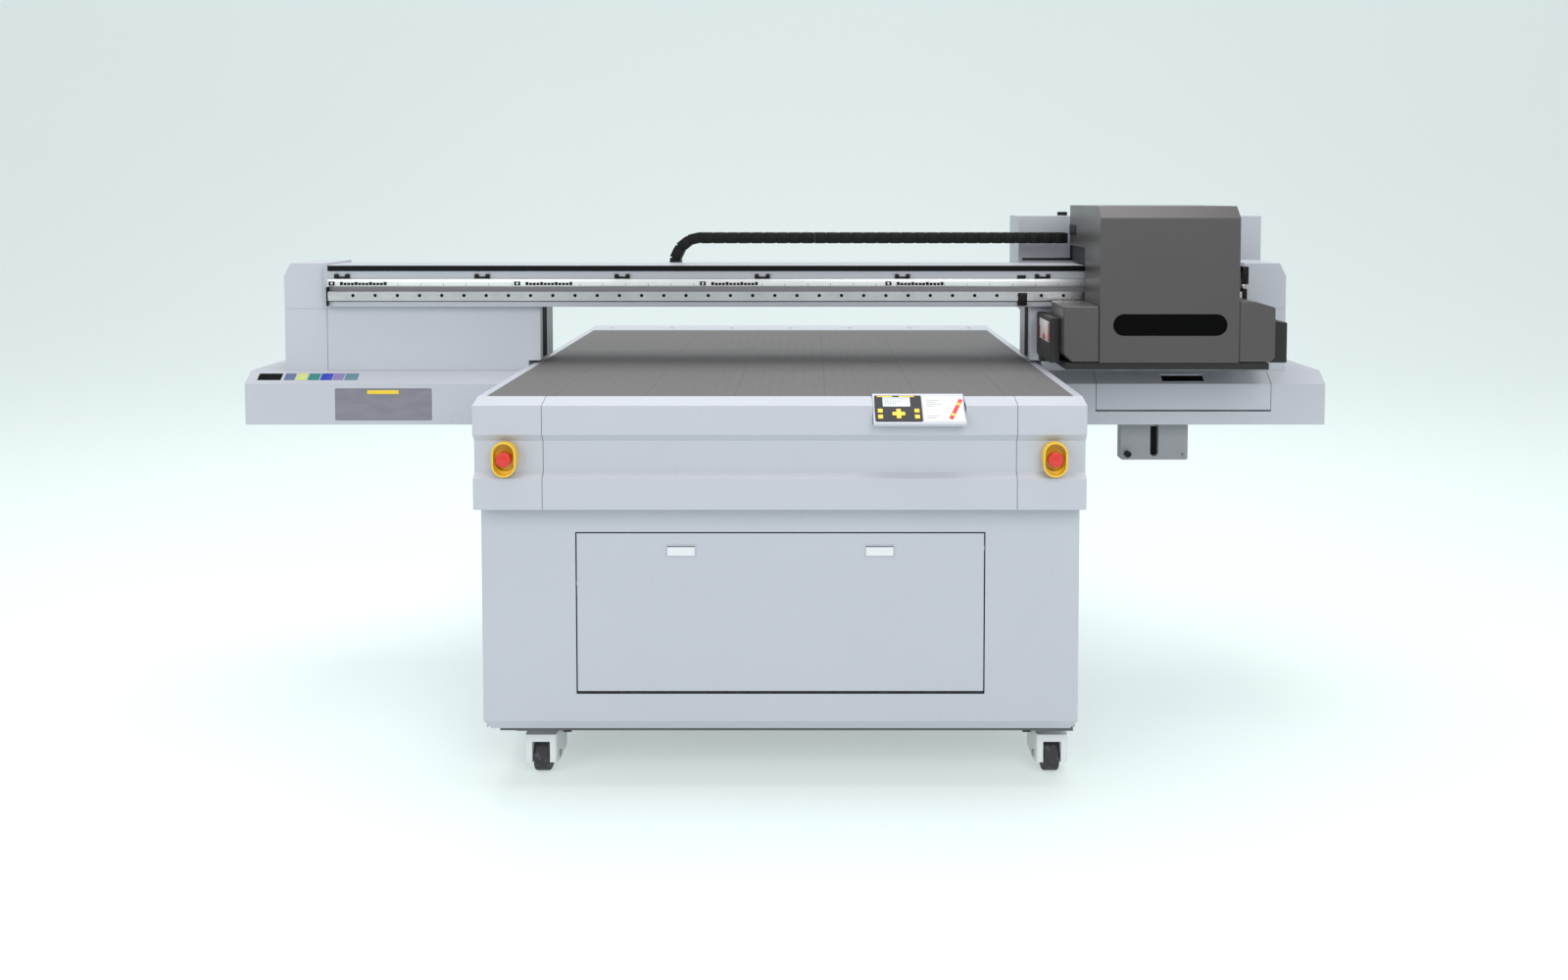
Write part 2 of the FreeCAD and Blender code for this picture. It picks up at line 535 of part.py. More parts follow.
# ---------------------------------------------------------------- print carriage
def carriage():
    """The carriage: a tall cover, the lamp housings beside it, heads, blocks and the rear box."""
    left, right = CARRIAGE_X - COVER_HALF, CARRIAGE_X + COVER_HALF
    shape = from_front([(304, COVER_BOTTOM), (304, 1289), (333, COVER_TOP), (653, COVER_TOP), (653, 1208),
                        (469, 1208), (469, COVER_BOTTOM)])
    cover = prism(shape, "x", left, right)
    cover = cover.cut(prism(from_front([(307, 900), (307, 1288), (334, 1315), (650, 1315), (650, 1211),
                                        (466, 1211), (466, 900)]), "x", left + 3, right - 3))
    slot = stadium(114, 27, F + 300, F + 310, CARRIAGE_X + 2, 1024, False)
    plate = box(left + 6, right - 6, F + 466, F + 478, 1012, 1208)
    save("carriage_cover", cover.cut(slot).fuse(plate).removeSplitter())
    save("status_window", stadium(113.5, 26.5, F + 304.5, F + 306.5, CARRIAGE_X + 2, 1024, False))
    blocks = []
    for x in (left + 30, right - 110):
        block = box(x, x + 80, F + 478, F + 503, 1056, 1100)
        blocks.append(block.cut(box(x - 1, x + 81, F + 489.6, F + 504, 1067.6, 1092.4)))
    save("x_blocks", *blocks)

    base = box(700, 1206, F + 312, F + 469, 912, 929.5)
    foot_left = box(668, 692.4, F + 343, F + 519, 925, 1037)
    foot_left = foot_left.fuse(box(668, left - 0.5, F + 461, F + 495, 912, 1037))
    foot_right = prism([(1218.6, 925), (1262, 925), (1262, 1026), (1218.6, 1030)], "y", F + 343, F + 495)
    foot_right = foot_right.fuse(box(right + 0.5, 1262, F + 461, F + 495, 912, 1026))
    skids = [box(x, x + 80, F + 468, F + 480, 912, 929.5) for x in (left - 20, right - 60)]
    base = fuse([base, foot_left, foot_right] + skids)
    head_x = [820 + i * 72 for i in range(4)]
    for x in head_x:
        base = base.cut(box(x - 0.5, x + 48.5, F + 329.5, F + 396.5, 900, 940))
    inlet = box(left + 6, right - 6, F + 478.5, F + 652, 1164, 1207.5)
    save("carriage_base", base.removeSplitter(), inlet)
    skirt_left = prism([(693, 952), (713, 932), (left - 0.5, 932), (left - 0.5, 1071), (693, 1071)],
                       "y", F + 304, F + 460)
    skirt_right = prism([(right + 0.5, 932), (1206, 932), (1218, 944), (1218, 1067), (right + 40, 1082),
                         (right + 0.5, 1084)], "y", F + 304, F + 460)
    save("lamp_left", skirt_left)
    save("lamp_right", skirt_right)
    save("print_heads", *[box(x, x + 48, F + 330, F + 396, 908, 990) for x in head_x])

    rear = prism([(700, 997), (1354, 997), (1354, 1286), (662, 1286), (662, 1035)], "y", F + 773, F + 926)
    rear = rear.fuse(box(830, 1100, F + 653.2, F + 773, 1250, 1284))
    rear = rear.fuse(box(815, 840, F + 717.5, F + 773, 1212, 1284)).fuse(box(814.5, 840, F + 663, F + 773, 1212, 1242))
    rear = rear.fuse(rod(14, V(802, F + 850, 1286), V(802, F + 850, 1297)))
    save("rear_box", rear.removeSplitter())


def main():
    """Builds every node."""
    os.makedirs("parts", exist_ok=True)
    base_frame()
    cabinet_panels()
    console()
    emergency_stops()
    bed()
    control_panel()
    front_door()
    casters()
    rails_and_blocks()
    wings()
    beam()
    cable_chain()
    carriage()


main()
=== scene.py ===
"""Looks of a flatbed UV printer: finishes on its panels, and the small pieces that its maker adds."""

import json
import logging
import math
from dataclasses import dataclass, field
from enum import Enum
from typing import Any, Optional, Sequence, Union

import bpy
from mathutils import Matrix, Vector

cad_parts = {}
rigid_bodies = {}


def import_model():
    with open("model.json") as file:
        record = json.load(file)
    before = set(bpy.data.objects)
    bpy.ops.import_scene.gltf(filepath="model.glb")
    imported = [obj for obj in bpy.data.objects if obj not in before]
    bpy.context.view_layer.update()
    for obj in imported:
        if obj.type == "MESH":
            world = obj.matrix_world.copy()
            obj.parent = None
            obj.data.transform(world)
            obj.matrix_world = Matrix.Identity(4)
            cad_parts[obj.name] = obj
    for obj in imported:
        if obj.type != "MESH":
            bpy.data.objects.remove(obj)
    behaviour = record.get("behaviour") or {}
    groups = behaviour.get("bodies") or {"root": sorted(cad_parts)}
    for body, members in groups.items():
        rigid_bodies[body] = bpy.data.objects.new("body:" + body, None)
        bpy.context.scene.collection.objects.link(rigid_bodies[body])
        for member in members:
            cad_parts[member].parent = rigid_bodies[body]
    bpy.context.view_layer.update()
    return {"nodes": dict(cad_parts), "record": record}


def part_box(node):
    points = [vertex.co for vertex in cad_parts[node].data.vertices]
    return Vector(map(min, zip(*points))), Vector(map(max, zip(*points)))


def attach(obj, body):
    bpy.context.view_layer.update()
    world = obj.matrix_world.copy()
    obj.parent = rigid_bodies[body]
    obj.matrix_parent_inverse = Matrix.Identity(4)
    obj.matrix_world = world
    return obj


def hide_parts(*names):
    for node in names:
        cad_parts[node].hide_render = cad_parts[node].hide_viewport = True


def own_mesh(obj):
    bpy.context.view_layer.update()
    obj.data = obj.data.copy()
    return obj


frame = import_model()

LOG = logging.getLogger("flatbed_printer")
MM = 0.001

SMOOTH_BELOW = 32  # degrees: faces that meet at less are shaded as one curve
FOLD_ANGLE = 24  # degrees: edges of the covers sharper than this are bevelled
FLAT_WITHIN = 0.8  # degrees: faces that meet at less are merged first
WELD = 0.000005  # metres: corners closer than this become one
CLEAR = 0.0002  # metres between a face and the back of what sits in front of it

Colour = tuple[float, float, float]
Number = Union[int, float]
Span = tuple[Number, Number]


# ---------------------------------------------------------------- shader maths
class Wire:
    """A shader socket whose arithmetic adds Math nodes."""

    def __init__(self, kit: "NodeKit", socket: Any) -> None:
        """Wraps one output socket of a material's node tree."""
        self.kit = kit
        self.socket = socket

    def _math(self, operation: str, a: Any, b: Any = 0.0) -> "Wire":
        """Adds one Math node.

        Args:
            operation: the Math node's operation.
            a: first value or wire.
            b: second value or wire.

        Returns:
            The node's output.
        """
        return self.kit.node("ShaderNodeMath", {"operation": operation}, {0: a, 1: b})

    def __add__(self, other: Any) -> "Wire":
        """Sum."""
        return self._math("ADD", self, other)

    __radd__ = __add__

    def __sub__(self, other: Any) -> "Wire":
        """Difference."""
        return self._math("SUBTRACT", self, other)

    def __rsub__(self, other: Any) -> "Wire":
        """Difference with the wire on the right."""
        return self._math("SUBTRACT", other, self)

    def __mul__(self, other: Any) -> "Wire":
        """Product."""
        return self._math("MULTIPLY", self, other)

    __rmul__ = __mul__

    def __gt__(self, other: Any) -> "Wire":
        """1 where the wire is greater, 0 elsewhere."""
        return self._math("GREATER_THAN", self, other)

    def __lt__(self, other: Any) -> "Wire":
        """1 where the wire is smaller, 0 elsewhere."""
        return self._math("LESS_THAN", self, other)

    def wave(self, pitch: float, phase: float = 0.0) -> "Wire":
        """Distance to the nearest of a row of lines, as a share of their pitch: 0 on a line, 0.5 between.

        Args:
            pitch: distance between lines.
            phase: shifts the lines, as a share of the pitch.

        Returns:
            The distance as a share of the pitch.
        """
        turns = self * (1.0 / pitch) + phase
        return self._math("PINGPONG", turns, 0.5)


class NodeKit:
    """Builds one material around a Principled shader."""

    def __init__(self, name: str) -> None:
        """Makes an empty material.

        Args:
            name: the material's name.
        """
        self.material = bpy.data.materials.new(name)
        self.material.use_nodes = True
        self.tree = self.material.node_tree
        self.shader = self.tree.nodes["Principled BSDF"]
        self.place = self.node("ShaderNodeTexCoord", {}, {}, "Object")

    def node(self, kind: str, settings: dict[str, Any], sockets: dict[Any, Any],
             output: Union[str, int] = 0) -> Wire:
        """Adds a node.

        Args:
            kind: the node's type.
            settings: properties to set first; the key "stops" holds a colour ramp's stops.
            sockets: input name or number to a value or a wire.
            output: which output to return.

        Returns:
            The chosen output.
        """
        made = self.tree.nodes.new(kind)
        for key, value in settings.items():
            if key == "stops":
                for element, (position, shade) in zip(made.color_ramp.elements, value):
                    element.position = position
                    element.color = (shade, shade, shade, 1.0)
            else:
                setattr(made, key, value)
        for key, value in sockets.items():
            self._feed(made.inputs[key], value)
        return Wire(self, made.outputs[output])

    def _feed(self, socket: Any, value: Any) -> None:
        """Links a wire to a socket, or sets a plain value on it.

        Args:
            socket: the input.
            value: a wire, a number, a colour or a vector.
        """
        if isinstance(value, Wire):
            self.tree.links.new(value.socket, socket)
        elif isinstance(value, tuple) and len(value) == 3 and socket.type == "RGBA":
            socket.default_value = (*value, 1.0)
        else:
            socket.default_value = value

    def noise(self, scale: float, detail: float = 3.0, stretch: Optional[Colour] = None) -> Wire:
        """Noise on object coordinates.

        Args:
            scale: how many blobs to a metre.
            detail: octaves.
            stretch: scale of each axis, for brushed or streaked patterns.

        Returns:
            The noise, around 0.5.
        """
        place = self.place
        if stretch is not None:
            place = self.node("ShaderNodeMapping", {}, {"Vector": self.place, "Scale": stretch})
        return self.node("ShaderNodeTexNoise", {}, {"Vector": place, "Scale": scale, "Detail": detail})

    def axis(self, name: str) -> Wire:
        """One object coordinate, in metres: "X", "Y" or "Z"."""
        return self.node("ShaderNodeSeparateXYZ", {}, {0: self.place}, name)

    def mix(self, share: Any, low: Any, high: Any) -> Wire:
        """A colour between two colours.

        Args:
            share: 0 for low, 1 for high.
            low: colour or wire.
            high: colour or wire.

        Returns:
            The mixed colour.
        """
        made = self.tree.nodes.new("ShaderNodeMix")
        made.data_type = "RGBA"
        colours = [s for s in made.inputs if s.type == "RGBA"]
        self._feed(made.inputs[0], share)
        self._feed(colours[0], low)
        self._feed(colours[1], high)
        return Wire(self, [s for s in made.outputs if s.type == "RGBA"][0])

    def both(self, a: Wire, b: Wire) -> Wire:
        """The larger of two wires."""
        return self.node("ShaderNodeMath", {"operation": "MAXIMUM"}, {0: a, 1: b})

    def surface(self, **values: Any) -> None:
        """Sets or links inputs of the shader; underscores stand for spaces in their names."""
        for key, value in values.items():
            self._feed(self.shader.inputs[key.replace("_", " ")], value)

    def bump(self, height: Wire, depth: float, strength: float = 1.0) -> None:
        """Raises the surface by a height pattern.

        Args:
            height: the pattern.
            depth: its full height in metres.
            strength: share of the effect.
        """
        normal = self.node("ShaderNodeBump", {},
                           {"Height": height, "Distance": depth, "Strength": strength})
        self._feed(self.shader.inputs["Normal"], normal)


def shade(colour: Colour, factor: float) -> Colour:
    """A colour made darker or lighter."""
    return tuple(min(1.0, part * factor) for part in colour)


# ---------------------------------------------------------------- finishes
@dataclass(frozen=True)
class Paint:
    """Powder coat: fine orange peel, cloudy sheen and a trace of dust in random patches."""

    name: str
    colour: Colour
    roughness: float = 0.38
    peel: float = 0.00004
    coat: float = 0.12

    def build(self) -> bpy.types.Material:
        """Makes the material.

        Returns:
            The material.
        """
        kit = NodeKit(self.name)
        cloud = kit.noise(5.0, 4.0)
        grain = kit.noise(900.0, 2.0)
        rub = kit.noise(38.0, 5.0, (1.0, 1.0, 0.35))
        colour = kit.mix(cloud, shade(self.colour, 0.965), shade(self.colour, 1.02))
        colour = kit.mix((rub > 0.69) * 0.10, colour, shade(self.colour, 0.82))
        kit.surface(Base_Color=colour, Roughness=cloud * 0.12 + grain * 0.05 + (self.roughness - 0.08),
                    Coat_Weight=self.coat, Coat_Roughness=0.25, IOR=1.5)
        kit.bump(grain, self.peel, 0.6)
        return kit.material


class Brushing(Enum):
    """Which way a metal was brushed or ground."""

    ALONG_X = (0.02, 1.0, 1.0)
    ALONG_Y = (1.0, 0.02, 1.0)
    NONE = (1.0, 1.0, 1.0)


@dataclass(frozen=True)
class Metal:
    """Ground or brushed metal with fine lines, uneven gloss and faint oil."""

    name: str
    colour: Colour
    roughness: float = 0.3
    brushing: Brushing = Brushing.NONE
    metallic: float = 1.0

    def build(self) -> bpy.types.Material:
        """Makes the material.

        Returns:
            The material.
        """
        kit = NodeKit(self.name)
        lines = kit.noise(700.0, 3.0, self.brushing.value)
        film = kit.noise(14.0, 4.0)
        kit.surface(Base_Color=kit.mix(film, shade(self.colour, 0.88), shade(self.colour, 1.06)),
                    Roughness=lines * 0.16 + film * 0.10 + (self.roughness - 0.12), Metallic=self.metallic)
        kit.bump(lines, 0.00003, 0.5)
        return kit.material


@dataclass(frozen=True)
class Plastic:
    """Moulded plastic with a fine spark texture and slight handling marks."""

    name: str
    colour: Colour
    roughness: float = 0.45
    texture: float = 0.00003
    coat: float = 0.0
    glow: float = 0.0
    sheen: float = 0.5

    def build(self) -> bpy.types.Material:
        """Makes the material.

        Returns:
            The material.
        """
        kit = NodeKit(self.name)
        spark = kit.noise(1600.0, 1.0)
        hands = kit.noise(22.0, 4.0)
        kit.surface(Base_Color=kit.mix(hands, shade(self.colour, 0.9), shade(self.colour, 1.08)),
                    Roughness=hands * 0.14 + spark * 0.06 + (self.roughness - 0.1),
                    Coat_Weight=self.coat, Coat_Roughness=0.08, Specular_IOR_Level=self.sheen)
        if self.glow:
            kit.surface(Emission_Color=self.colour, Emission_Strength=self.glow)
        kit.bump(spark, self.texture, 0.5)
        return kit.material


@dataclass(frozen=True)
class Rubber:
    """Caster tread: dull black with pale floor dust worn into it."""

    name: str
    colour: Colour = (0.028, 0.028, 0.03)

    def build(self) -> bpy.types.Material:
        """Makes the material.

        Returns:
            The material.
        """
        kit = NodeKit(self.name)
        dust = kit.noise(90.0, 5.0)
        grain = kit.noise(1200.0, 2.0)
        kit.surface(Base_Color=kit.mix((dust > 0.58) * 0.35, self.colour, (0.16, 0.155, 0.15)),
                    Roughness=dust * 0.2 + 0.58)
        kit.bump(grain, 0.00008, 0.7)
        return kit.material


@dataclass(frozen=True)
class VacuumBed:
    """Dark anodised plate with rows of fine suction holes and faint tiling scores."""

    name: str
    colour: Colour = (0.130, 0.124, 0.125)
    pitch: float = 0.025
    hole: float = 0.06

    def build(self) -> bpy.types.Material:
        """Makes the material.

        Returns:
            The material.
        """
        kit = NodeKit(self.name)
        across, along = kit.axis("X").wave(self.pitch), kit.axis("Y").wave(self.pitch)
        hole = (across * across + along * along) < self.hole * self.hole
        tile = self.pitch * 8
        score = kit.both(kit.axis("X").wave(tile, 0.5) < 0.004, kit.axis("Y").wave(tile, 0.5) < 0.004)
        cloud = kit.noise(3.5, 5.0)
        scuff = kit.noise(60.0, 5.0, (1.0, 0.25, 1.0))
        colour = kit.mix(cloud, shade(self.colour, 0.9), shade(self.colour, 1.1))
        colour = kit.mix((scuff > 0.66) * 0.18, colour, shade(self.colour, 1.45))
        colour = kit.mix(score * 0.35, colour, shade(self.colour, 0.55))
        colour = kit.mix(hole * 0.8, colour, (0.01, 0.01, 0.01))
        kit.surface(Base_Color=colour, Roughness=cloud * 0.15 + scuff * 0.12 + 0.55, Specular_IOR_Level=0.35)
        kit.bump(1.0 - kit.both(hole, score) + scuff * 0.05, 0.0006, 0.6)
        return kit.material


@dataclass(frozen=True)
class Smoked:
    """Tinted acrylic with faint smears; coat sets both the gloss layer and the strength of reflections."""

    name: str
    colour: Colour
    roughness: float = 0.3
    coat: float = 0.0

    def build(self) -> bpy.types.Material:
        """Makes the material.

        Returns:
            The material.
        """
        kit = NodeKit(self.name)
        smear = kit.noise(16.0, 5.0, (1.0, 1.0, 3.0))
        fine = kit.noise(400.0, 2.0)
        kit.surface(Base_Color=kit.mix(smear, shade(self.colour, 0.8), shade(self.colour, 1.3)),
                    Roughness=smear * 0.12 + (self.roughness - 0.04), Coat_Weight=self.coat,
                    Coat_Roughness=0.2, Specular_IOR_Level=self.coat)
        kit.bump(fine, 0.00001, 0.2)
        return kit.material


@dataclass(frozen=True)
class Ruled:
    """A bright steel strip with dark graduations, each tenth one longer."""

    name: str
    pitch: float = 0.005
    low: float = 0.0
    colour: Colour = (0.78, 0.79, 0.80)

    def build(self) -> bpy.types.Material:
        """Makes the material; low is the height of the strip's lower edge.

        Returns:
            The material.
        """
        kit = NodeKit(self.name)
        x, height = kit.axis("X"), kit.axis("Z") - self.low
        short = (x.wave(self.pitch) < 0.12) * (height < 0.005)
        tall = (x.wave(self.pitch * 10) < 0.014) * (height < 0.009)
        film = kit.noise(20.0, 4.0)
        colour = kit.mix(film, shade(self.colour, 0.93), self.colour)
        colour = kit.mix(kit.both(short, tall) * 0.85, colour, (0.02, 0.02, 0.02))
        kit.surface(Base_Color=colour, Roughness=film * 0.1 + 0.28, Metallic=0.55)
        kit.bump(kit.noise(500.0, 2.0, (0.02, 1.0, 1.0)), 0.00002, 0.4)
        return kit.material


# ---------------------------------------------------------------- colours
PALE: Colour = (0.46, 0.475, 0.525)
WHITE: Colour = (0.70, 0.71, 0.73)
CHARCOAL: Colour = (0.062, 0.055, 0.055)
BLACK: Colour = (0.004, 0.004, 0.004)
YELLOW: Colour = (0.80, 0.50, 0.02)
RED: Colour = (0.62, 0.02, 0.012)
CREAM: Colour = (0.66, 0.67, 0.66)

FINISHES: dict[str, Any] = {
    "panel_paint": Paint("panel_paint", PALE),
    "frame_paint": Paint("frame_paint", (0.09, 0.095, 0.10), 0.5),
    "bed_anodised": VacuumBed("bed_anodised"),
    "chamber_aluminium": Metal("chamber_aluminium", (0.55, 0.56, 0.58), 0.4, Brushing.ALONG_Y),
    "blower_casting": Paint("blower_casting", (0.12, 0.14, 0.17), 0.55, 0.00008),
    "carriage_paint": Paint("carriage_paint", CHARCOAL, 0.36, 0.00005, 0.2),
    # darker than the carriage base's own dark grey: this colour also paints the shade that falls under the
    # carriage
    "base_black": Plastic("base_black", (0.024, 0.023, 0.023), 0.55, 0.00005, sheen=0.25),
    "beam_paint": Paint("beam_paint", (0.40, 0.42, 0.46), 0.40),
    "rail_steel": Metal("rail_steel", (0.60, 0.60, 0.61), 0.26, Brushing.ALONG_X),
    "block_steel": Metal("block_steel", (0.36, 0.36, 0.37), 0.36),
    "chain_plastic": Plastic("chain_plastic", BLACK, 0.5, 0.00005, sheen=0.2),
    "tray_steel": Paint("tray_steel", (0.40, 0.42, 0.46), 0.4),
    "keypad_black": Plastic("keypad_black", (0.010, 0.010, 0.013), 0.4, 0.00001, 0.1, sheen=0.2),
    "pedal_plastic": Plastic("pedal_plastic", BLACK, 0.5),
    "smoked_glass": Smoked("smoked_glass", (0.0015, 0.0015, 0.0015), 0.45, 0.03),
    "grey_acrylic": Smoked("grey_acrylic", (0.20, 0.193, 0.225), 0.3, 0.2),
    "display_glass": Plastic("display_glass", (0.50, 0.60, 0.62), 0.12, 0.000005, 0.6, 0.25),
    "ink_bottle": Plastic("ink_bottle", (0.035, 0.035, 0.04), 0.4),
    "guard_yellow": Plastic("guard_yellow", YELLOW, 0.34, 0.00002, 0.25),
    "button_red": Plastic("button_red", RED, 0.3, 0.00001, 0.35),
    "key_yellow": Plastic("key_yellow", (0.80, 0.56, 0.03), 0.42),
    "latch_zinc": Paint("latch_zinc", WHITE, 0.32),
    "caster_paint": Paint("caster_paint", WHITE, 0.36),
    "wheel_rubber": Rubber("wheel_rubber"),
    "head_metal": Metal("head_metal", (0.32, 0.33, 0.35), 0.34),
    "service_paint": Paint("service_paint", (0.27, 0.275, 0.29), 0.42),
}

EXTRA: dict[str, Any] = {
    "strip_black": Plastic("strip_black", (0.006, 0.006, 0.007), 0.7, sheen=0.12),
    # dark grey for a thin line on the scale's top edge, and painted shadow in the groove between the scale
    # and the rail
    "edge_line_and_groove_shadow": Paint("edge_line_and_groove_shadow", (0.15, 0.15, 0.165), 0.5),
    "clip_black": Plastic("clip_black", BLACK, 0.45, sheen=0.2),
    "scale_strip": Ruled("scale_strip", 0.006, 1.103),
    "label_white": Plastic("label_white", CREAM, 0.5, 0.000005),
    "label_red": Plastic("label_red", RED, 0.45, 0.000005),
    "label_grey": Plastic("label_grey", (0.22, 0.23, 0.25), 0.5, 0.000005),
    "bolt_steel": Metal("bolt_steel", (0.42, 0.42, 0.43), 0.3),
    "shadow_gap": Plastic("shadow_gap", (0.006, 0.006, 0.006), 0.8, sheen=0.1),
    "hub_grey": Plastic("hub_grey", (0.30, 0.31, 0.32), 0.45),
    "tag_black": Plastic("tag_black", (0.004, 0.004, 0.004), 0.6, sheen=0.1),
    "tag_slate": Plastic("tag_slate", (0.10, 0.14, 0.26), 0.5),
    "tag_lime": Plastic("tag_lime", (0.52, 0.60, 0.20), 0.5),
    "tag_teal": Plastic("tag_teal", (0.02, 0.20, 0.17), 0.5),
    "tag_blue": Plastic("tag_blue", (0.015, 0.04, 0.42), 0.5),
    "tag_lilac": Plastic("tag_lilac", (0.22, 0.18, 0.38), 0.5),
    "tag_sea": Plastic("tag_sea", (0.10, 0.22, 0.26), 0.5),
}


class Wardrobe:
    """Builds each finish once and hands it out."""

    def __init__(self) -> None:
        """Starts with nothing built."""
        self._built: dict[str, bpy.types.Material] = {}

    def get(self, name: str) -> bpy.types.Material:
        """The material of a finish, built when first asked for.

        Args:
            name: the finish.

        Returns:
            The material.
        """
        if name not in self._built:
            self._built[name] = (FINISHES.get(name) or EXTRA[name]).build()
        return self._built[name]

    def dress(self, piece: bpy.types.Object, name: str) -> None:
        """Gives a piece one finish all over."""
        piece.data.materials.clear()
        piece.data.materials.append(self.get(name))


WARDROBE = Wardrobe()
SLOT_OF: dict[str, str] = {part["node"]: part["material_slot"] for part in frame["record"]["subparts"]}
BODY_OF: dict[str, str] = {
    node: body for body, nodes in frame["record"]["behaviour"]["bodies"].items() for node in nodes
}


# ---------------------------------------------------------------- modelling
def clear_selection() -> None:
    """Leaves edit mode and deselects every object."""
    if bpy.context.object is not None and bpy.context.object.mode != "OBJECT":
        bpy.ops.object.mode_set(mode="OBJECT")
    bpy.ops.object.select_all(action="DESELECT")


def select_only(piece: bpy.types.Object) -> None:
    """Makes a piece the only selected and the active object.

    Args:
        piece: the object.
    """
    clear_selection()
    piece.select_set(True)
    bpy.context.view_layer.objects.active = piece


def settle(piece: bpy.types.Object) -> None:
    """Applies a piece's place, turn and scale to its mesh, so that its object sits at the origin."""
    select_only(piece)
    bpy.ops.object.transform_apply(location=True, rotation=True, scale=True)


def finish_edges(piece: bpy.types.Object, width: float, segments: int = 2, angle: float = 35.0) -> None:
    """Bevels a settled piece's sharp edges and smooths its curved ones.

    Args:
        piece: the mesh.
        width: bevel width in metres.
        segments: bevel segments.
        angle: edges sharper than this are bevelled, in degrees.
    """
    select_only(piece)
    bevel = piece.modifiers.new("edge", "BEVEL")
    bevel.width = width
    bevel.segments = segments
    bevel.limit_method = "ANGLE"
    bevel.angle_limit = math.radians(angle)
    bevel.harden_normals = False
    bpy.ops.object.modifier_apply(modifier=bevel.name)
    bpy.ops.object.shade_smooth_by_angle(angle=math.radians(SMOOTH_BELOW))


def keep(piece: bpy.types.Object, name: str, body: str, slot: str, finish: Optional[str] = None) -> None:
    """Names a finished piece, dresses it and makes it ride.

    Args:
        piece: the mesh, settled.
        name: the piece's name.
        body: CAD body it moves with.
        slot: the record's material slot.
        finish: the finish, if it isn't the slot's own.
    """
    piece.name = name
    piece.data.name = name
    WARDROBE.dress(piece, finish or slot)
    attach(piece, body)
    LOG.info("piece %s on %s", name, body)


def block(low: Sequence[Number], high: Sequence[Number], edge: float = 0.0) -> bpy.types.Object:
    """A box between two corners, with its edges bevelled.

    Args:
        low: lowest corner in metres.
        high: highest corner in metres.
        edge: bevel width, 0 for none.

    Returns:
        The settled box.
    """
    clear_selection()
    centre = [(a + b) / 2 for a, b in zip(low, high)]
    bpy.ops.mesh.primitive_cube_add(size=1, location=centre)
    piece = bpy.context.object
    piece.scale = [b - a for a, b in zip(low, high)]
    settle(piece)
    if edge:
        finish_edges(piece, edge)
    return piece


def drum(radius: float, start: Sequence[Number], end: Sequence[Number], sides: int = 32,
         edge: float = 0.0) -> bpy.types.Object:
    """A round bar between two points, with its rims bevelled.

    Args:
        radius: in metres.
        start: centre of one end.
        end: centre of the other end.
        sides: sides of the round.
        edge: bevel width, 0 for none.

    Returns:
        The settled bar.
    """
    clear_selection()
    first, last = Vector(start), Vector(end)
    bpy.ops.mesh.primitive_cylinder_add(vertices=sides, radius=radius, depth=(last - first).length,
                                        location=(first + last) / 2)
    piece = bpy.context.object
    piece.rotation_mode = "QUATERNION"
    piece.rotation_quaternion = (last - first).to_track_quat("Z", "Y")
    settle(piece)
    if edge:
        finish_edges(piece, edge, 2, 50)
    return piece


def join(pieces: Sequence[bpy.types.Object]) -> bpy.types.Object:
    """Joins settled pieces into the first one.

    Args:
        pieces: the settled pieces.

    Returns:
        The first piece, which now holds them all.
    """
    clear_selection()
    for piece in pieces:
        piece.select_set(True)
    bpy.context.view_layer.objects.active = pieces[0]
    bpy.ops.object.join()
    return pieces[0]


def copy_moved(piece: bpy.types.Object, step: Sequence[Number]) -> bpy.types.Object:
    """A copy of a settled piece with its own mesh.

    Args:
        piece: the settled piece.
        step: how far the copy is moved.

    Returns:
        The settled copy.
    """
    select_only(piece)
    bpy.ops.object.duplicate(linked=False)
    twin = bpy.context.object
    twin.location = step
    settle(twin)
    return twin


def row(piece: bpy.types.Object, pitch: float, count: int) -> bpy.types.Object:
    """Joins a piece with copies of it along X.

    Args:
        piece: the settled piece at the left end.
        pitch: distance from one to the next.
        count: how many there are with the first.

    Returns:
        The joined row.
    """
    return join([piece] + [copy_moved(piece, (i * pitch, 0, 0)) for i in range(1, count)])


def refine_node(node: str, edge: float = 0.0012, segments: int = 2) -> bpy.types.Object:
    """Replaces a CAD node by a copy whose bends and rims are rounded.

    Args:
        node: the CAD node.
        edge: bevel width in metres.
        segments: bevel segments.

    Returns:
        The new piece, dressed and riding.
    """
    select_only(frame["nodes"][node])
    bpy.ops.object.duplicate(linked=False)
    piece = bpy.context.object
    bpy.ops.object.parent_clear(type="CLEAR_KEEP_TRANSFORM")
    settle(piece)
    bpy.ops.object.mode_set(mode="EDIT")
    bpy.ops.mesh.select_all(action="SELECT")
    bpy.ops.mesh.remove_doubles(threshold=WELD)
    bpy.ops.mesh.dissolve_limited(angle_limit=math.radians(FLAT_WITHIN))
    bpy.ops.object.mode_set(mode="OBJECT")
    finish_edges(piece, edge, segments, FOLD_ANGLE)
    flat = piece.modifiers.new("flat faces", "WEIGHTED_NORMAL")
    flat.keep_sharp = True
    bpy.ops.object.modifier_apply(modifier=flat.name)
    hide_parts(node)
    keep(piece, "skin_" + node, BODY_OF[node], SLOT_OF[node])
    return piece


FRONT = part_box("bed_plate")[0][1]


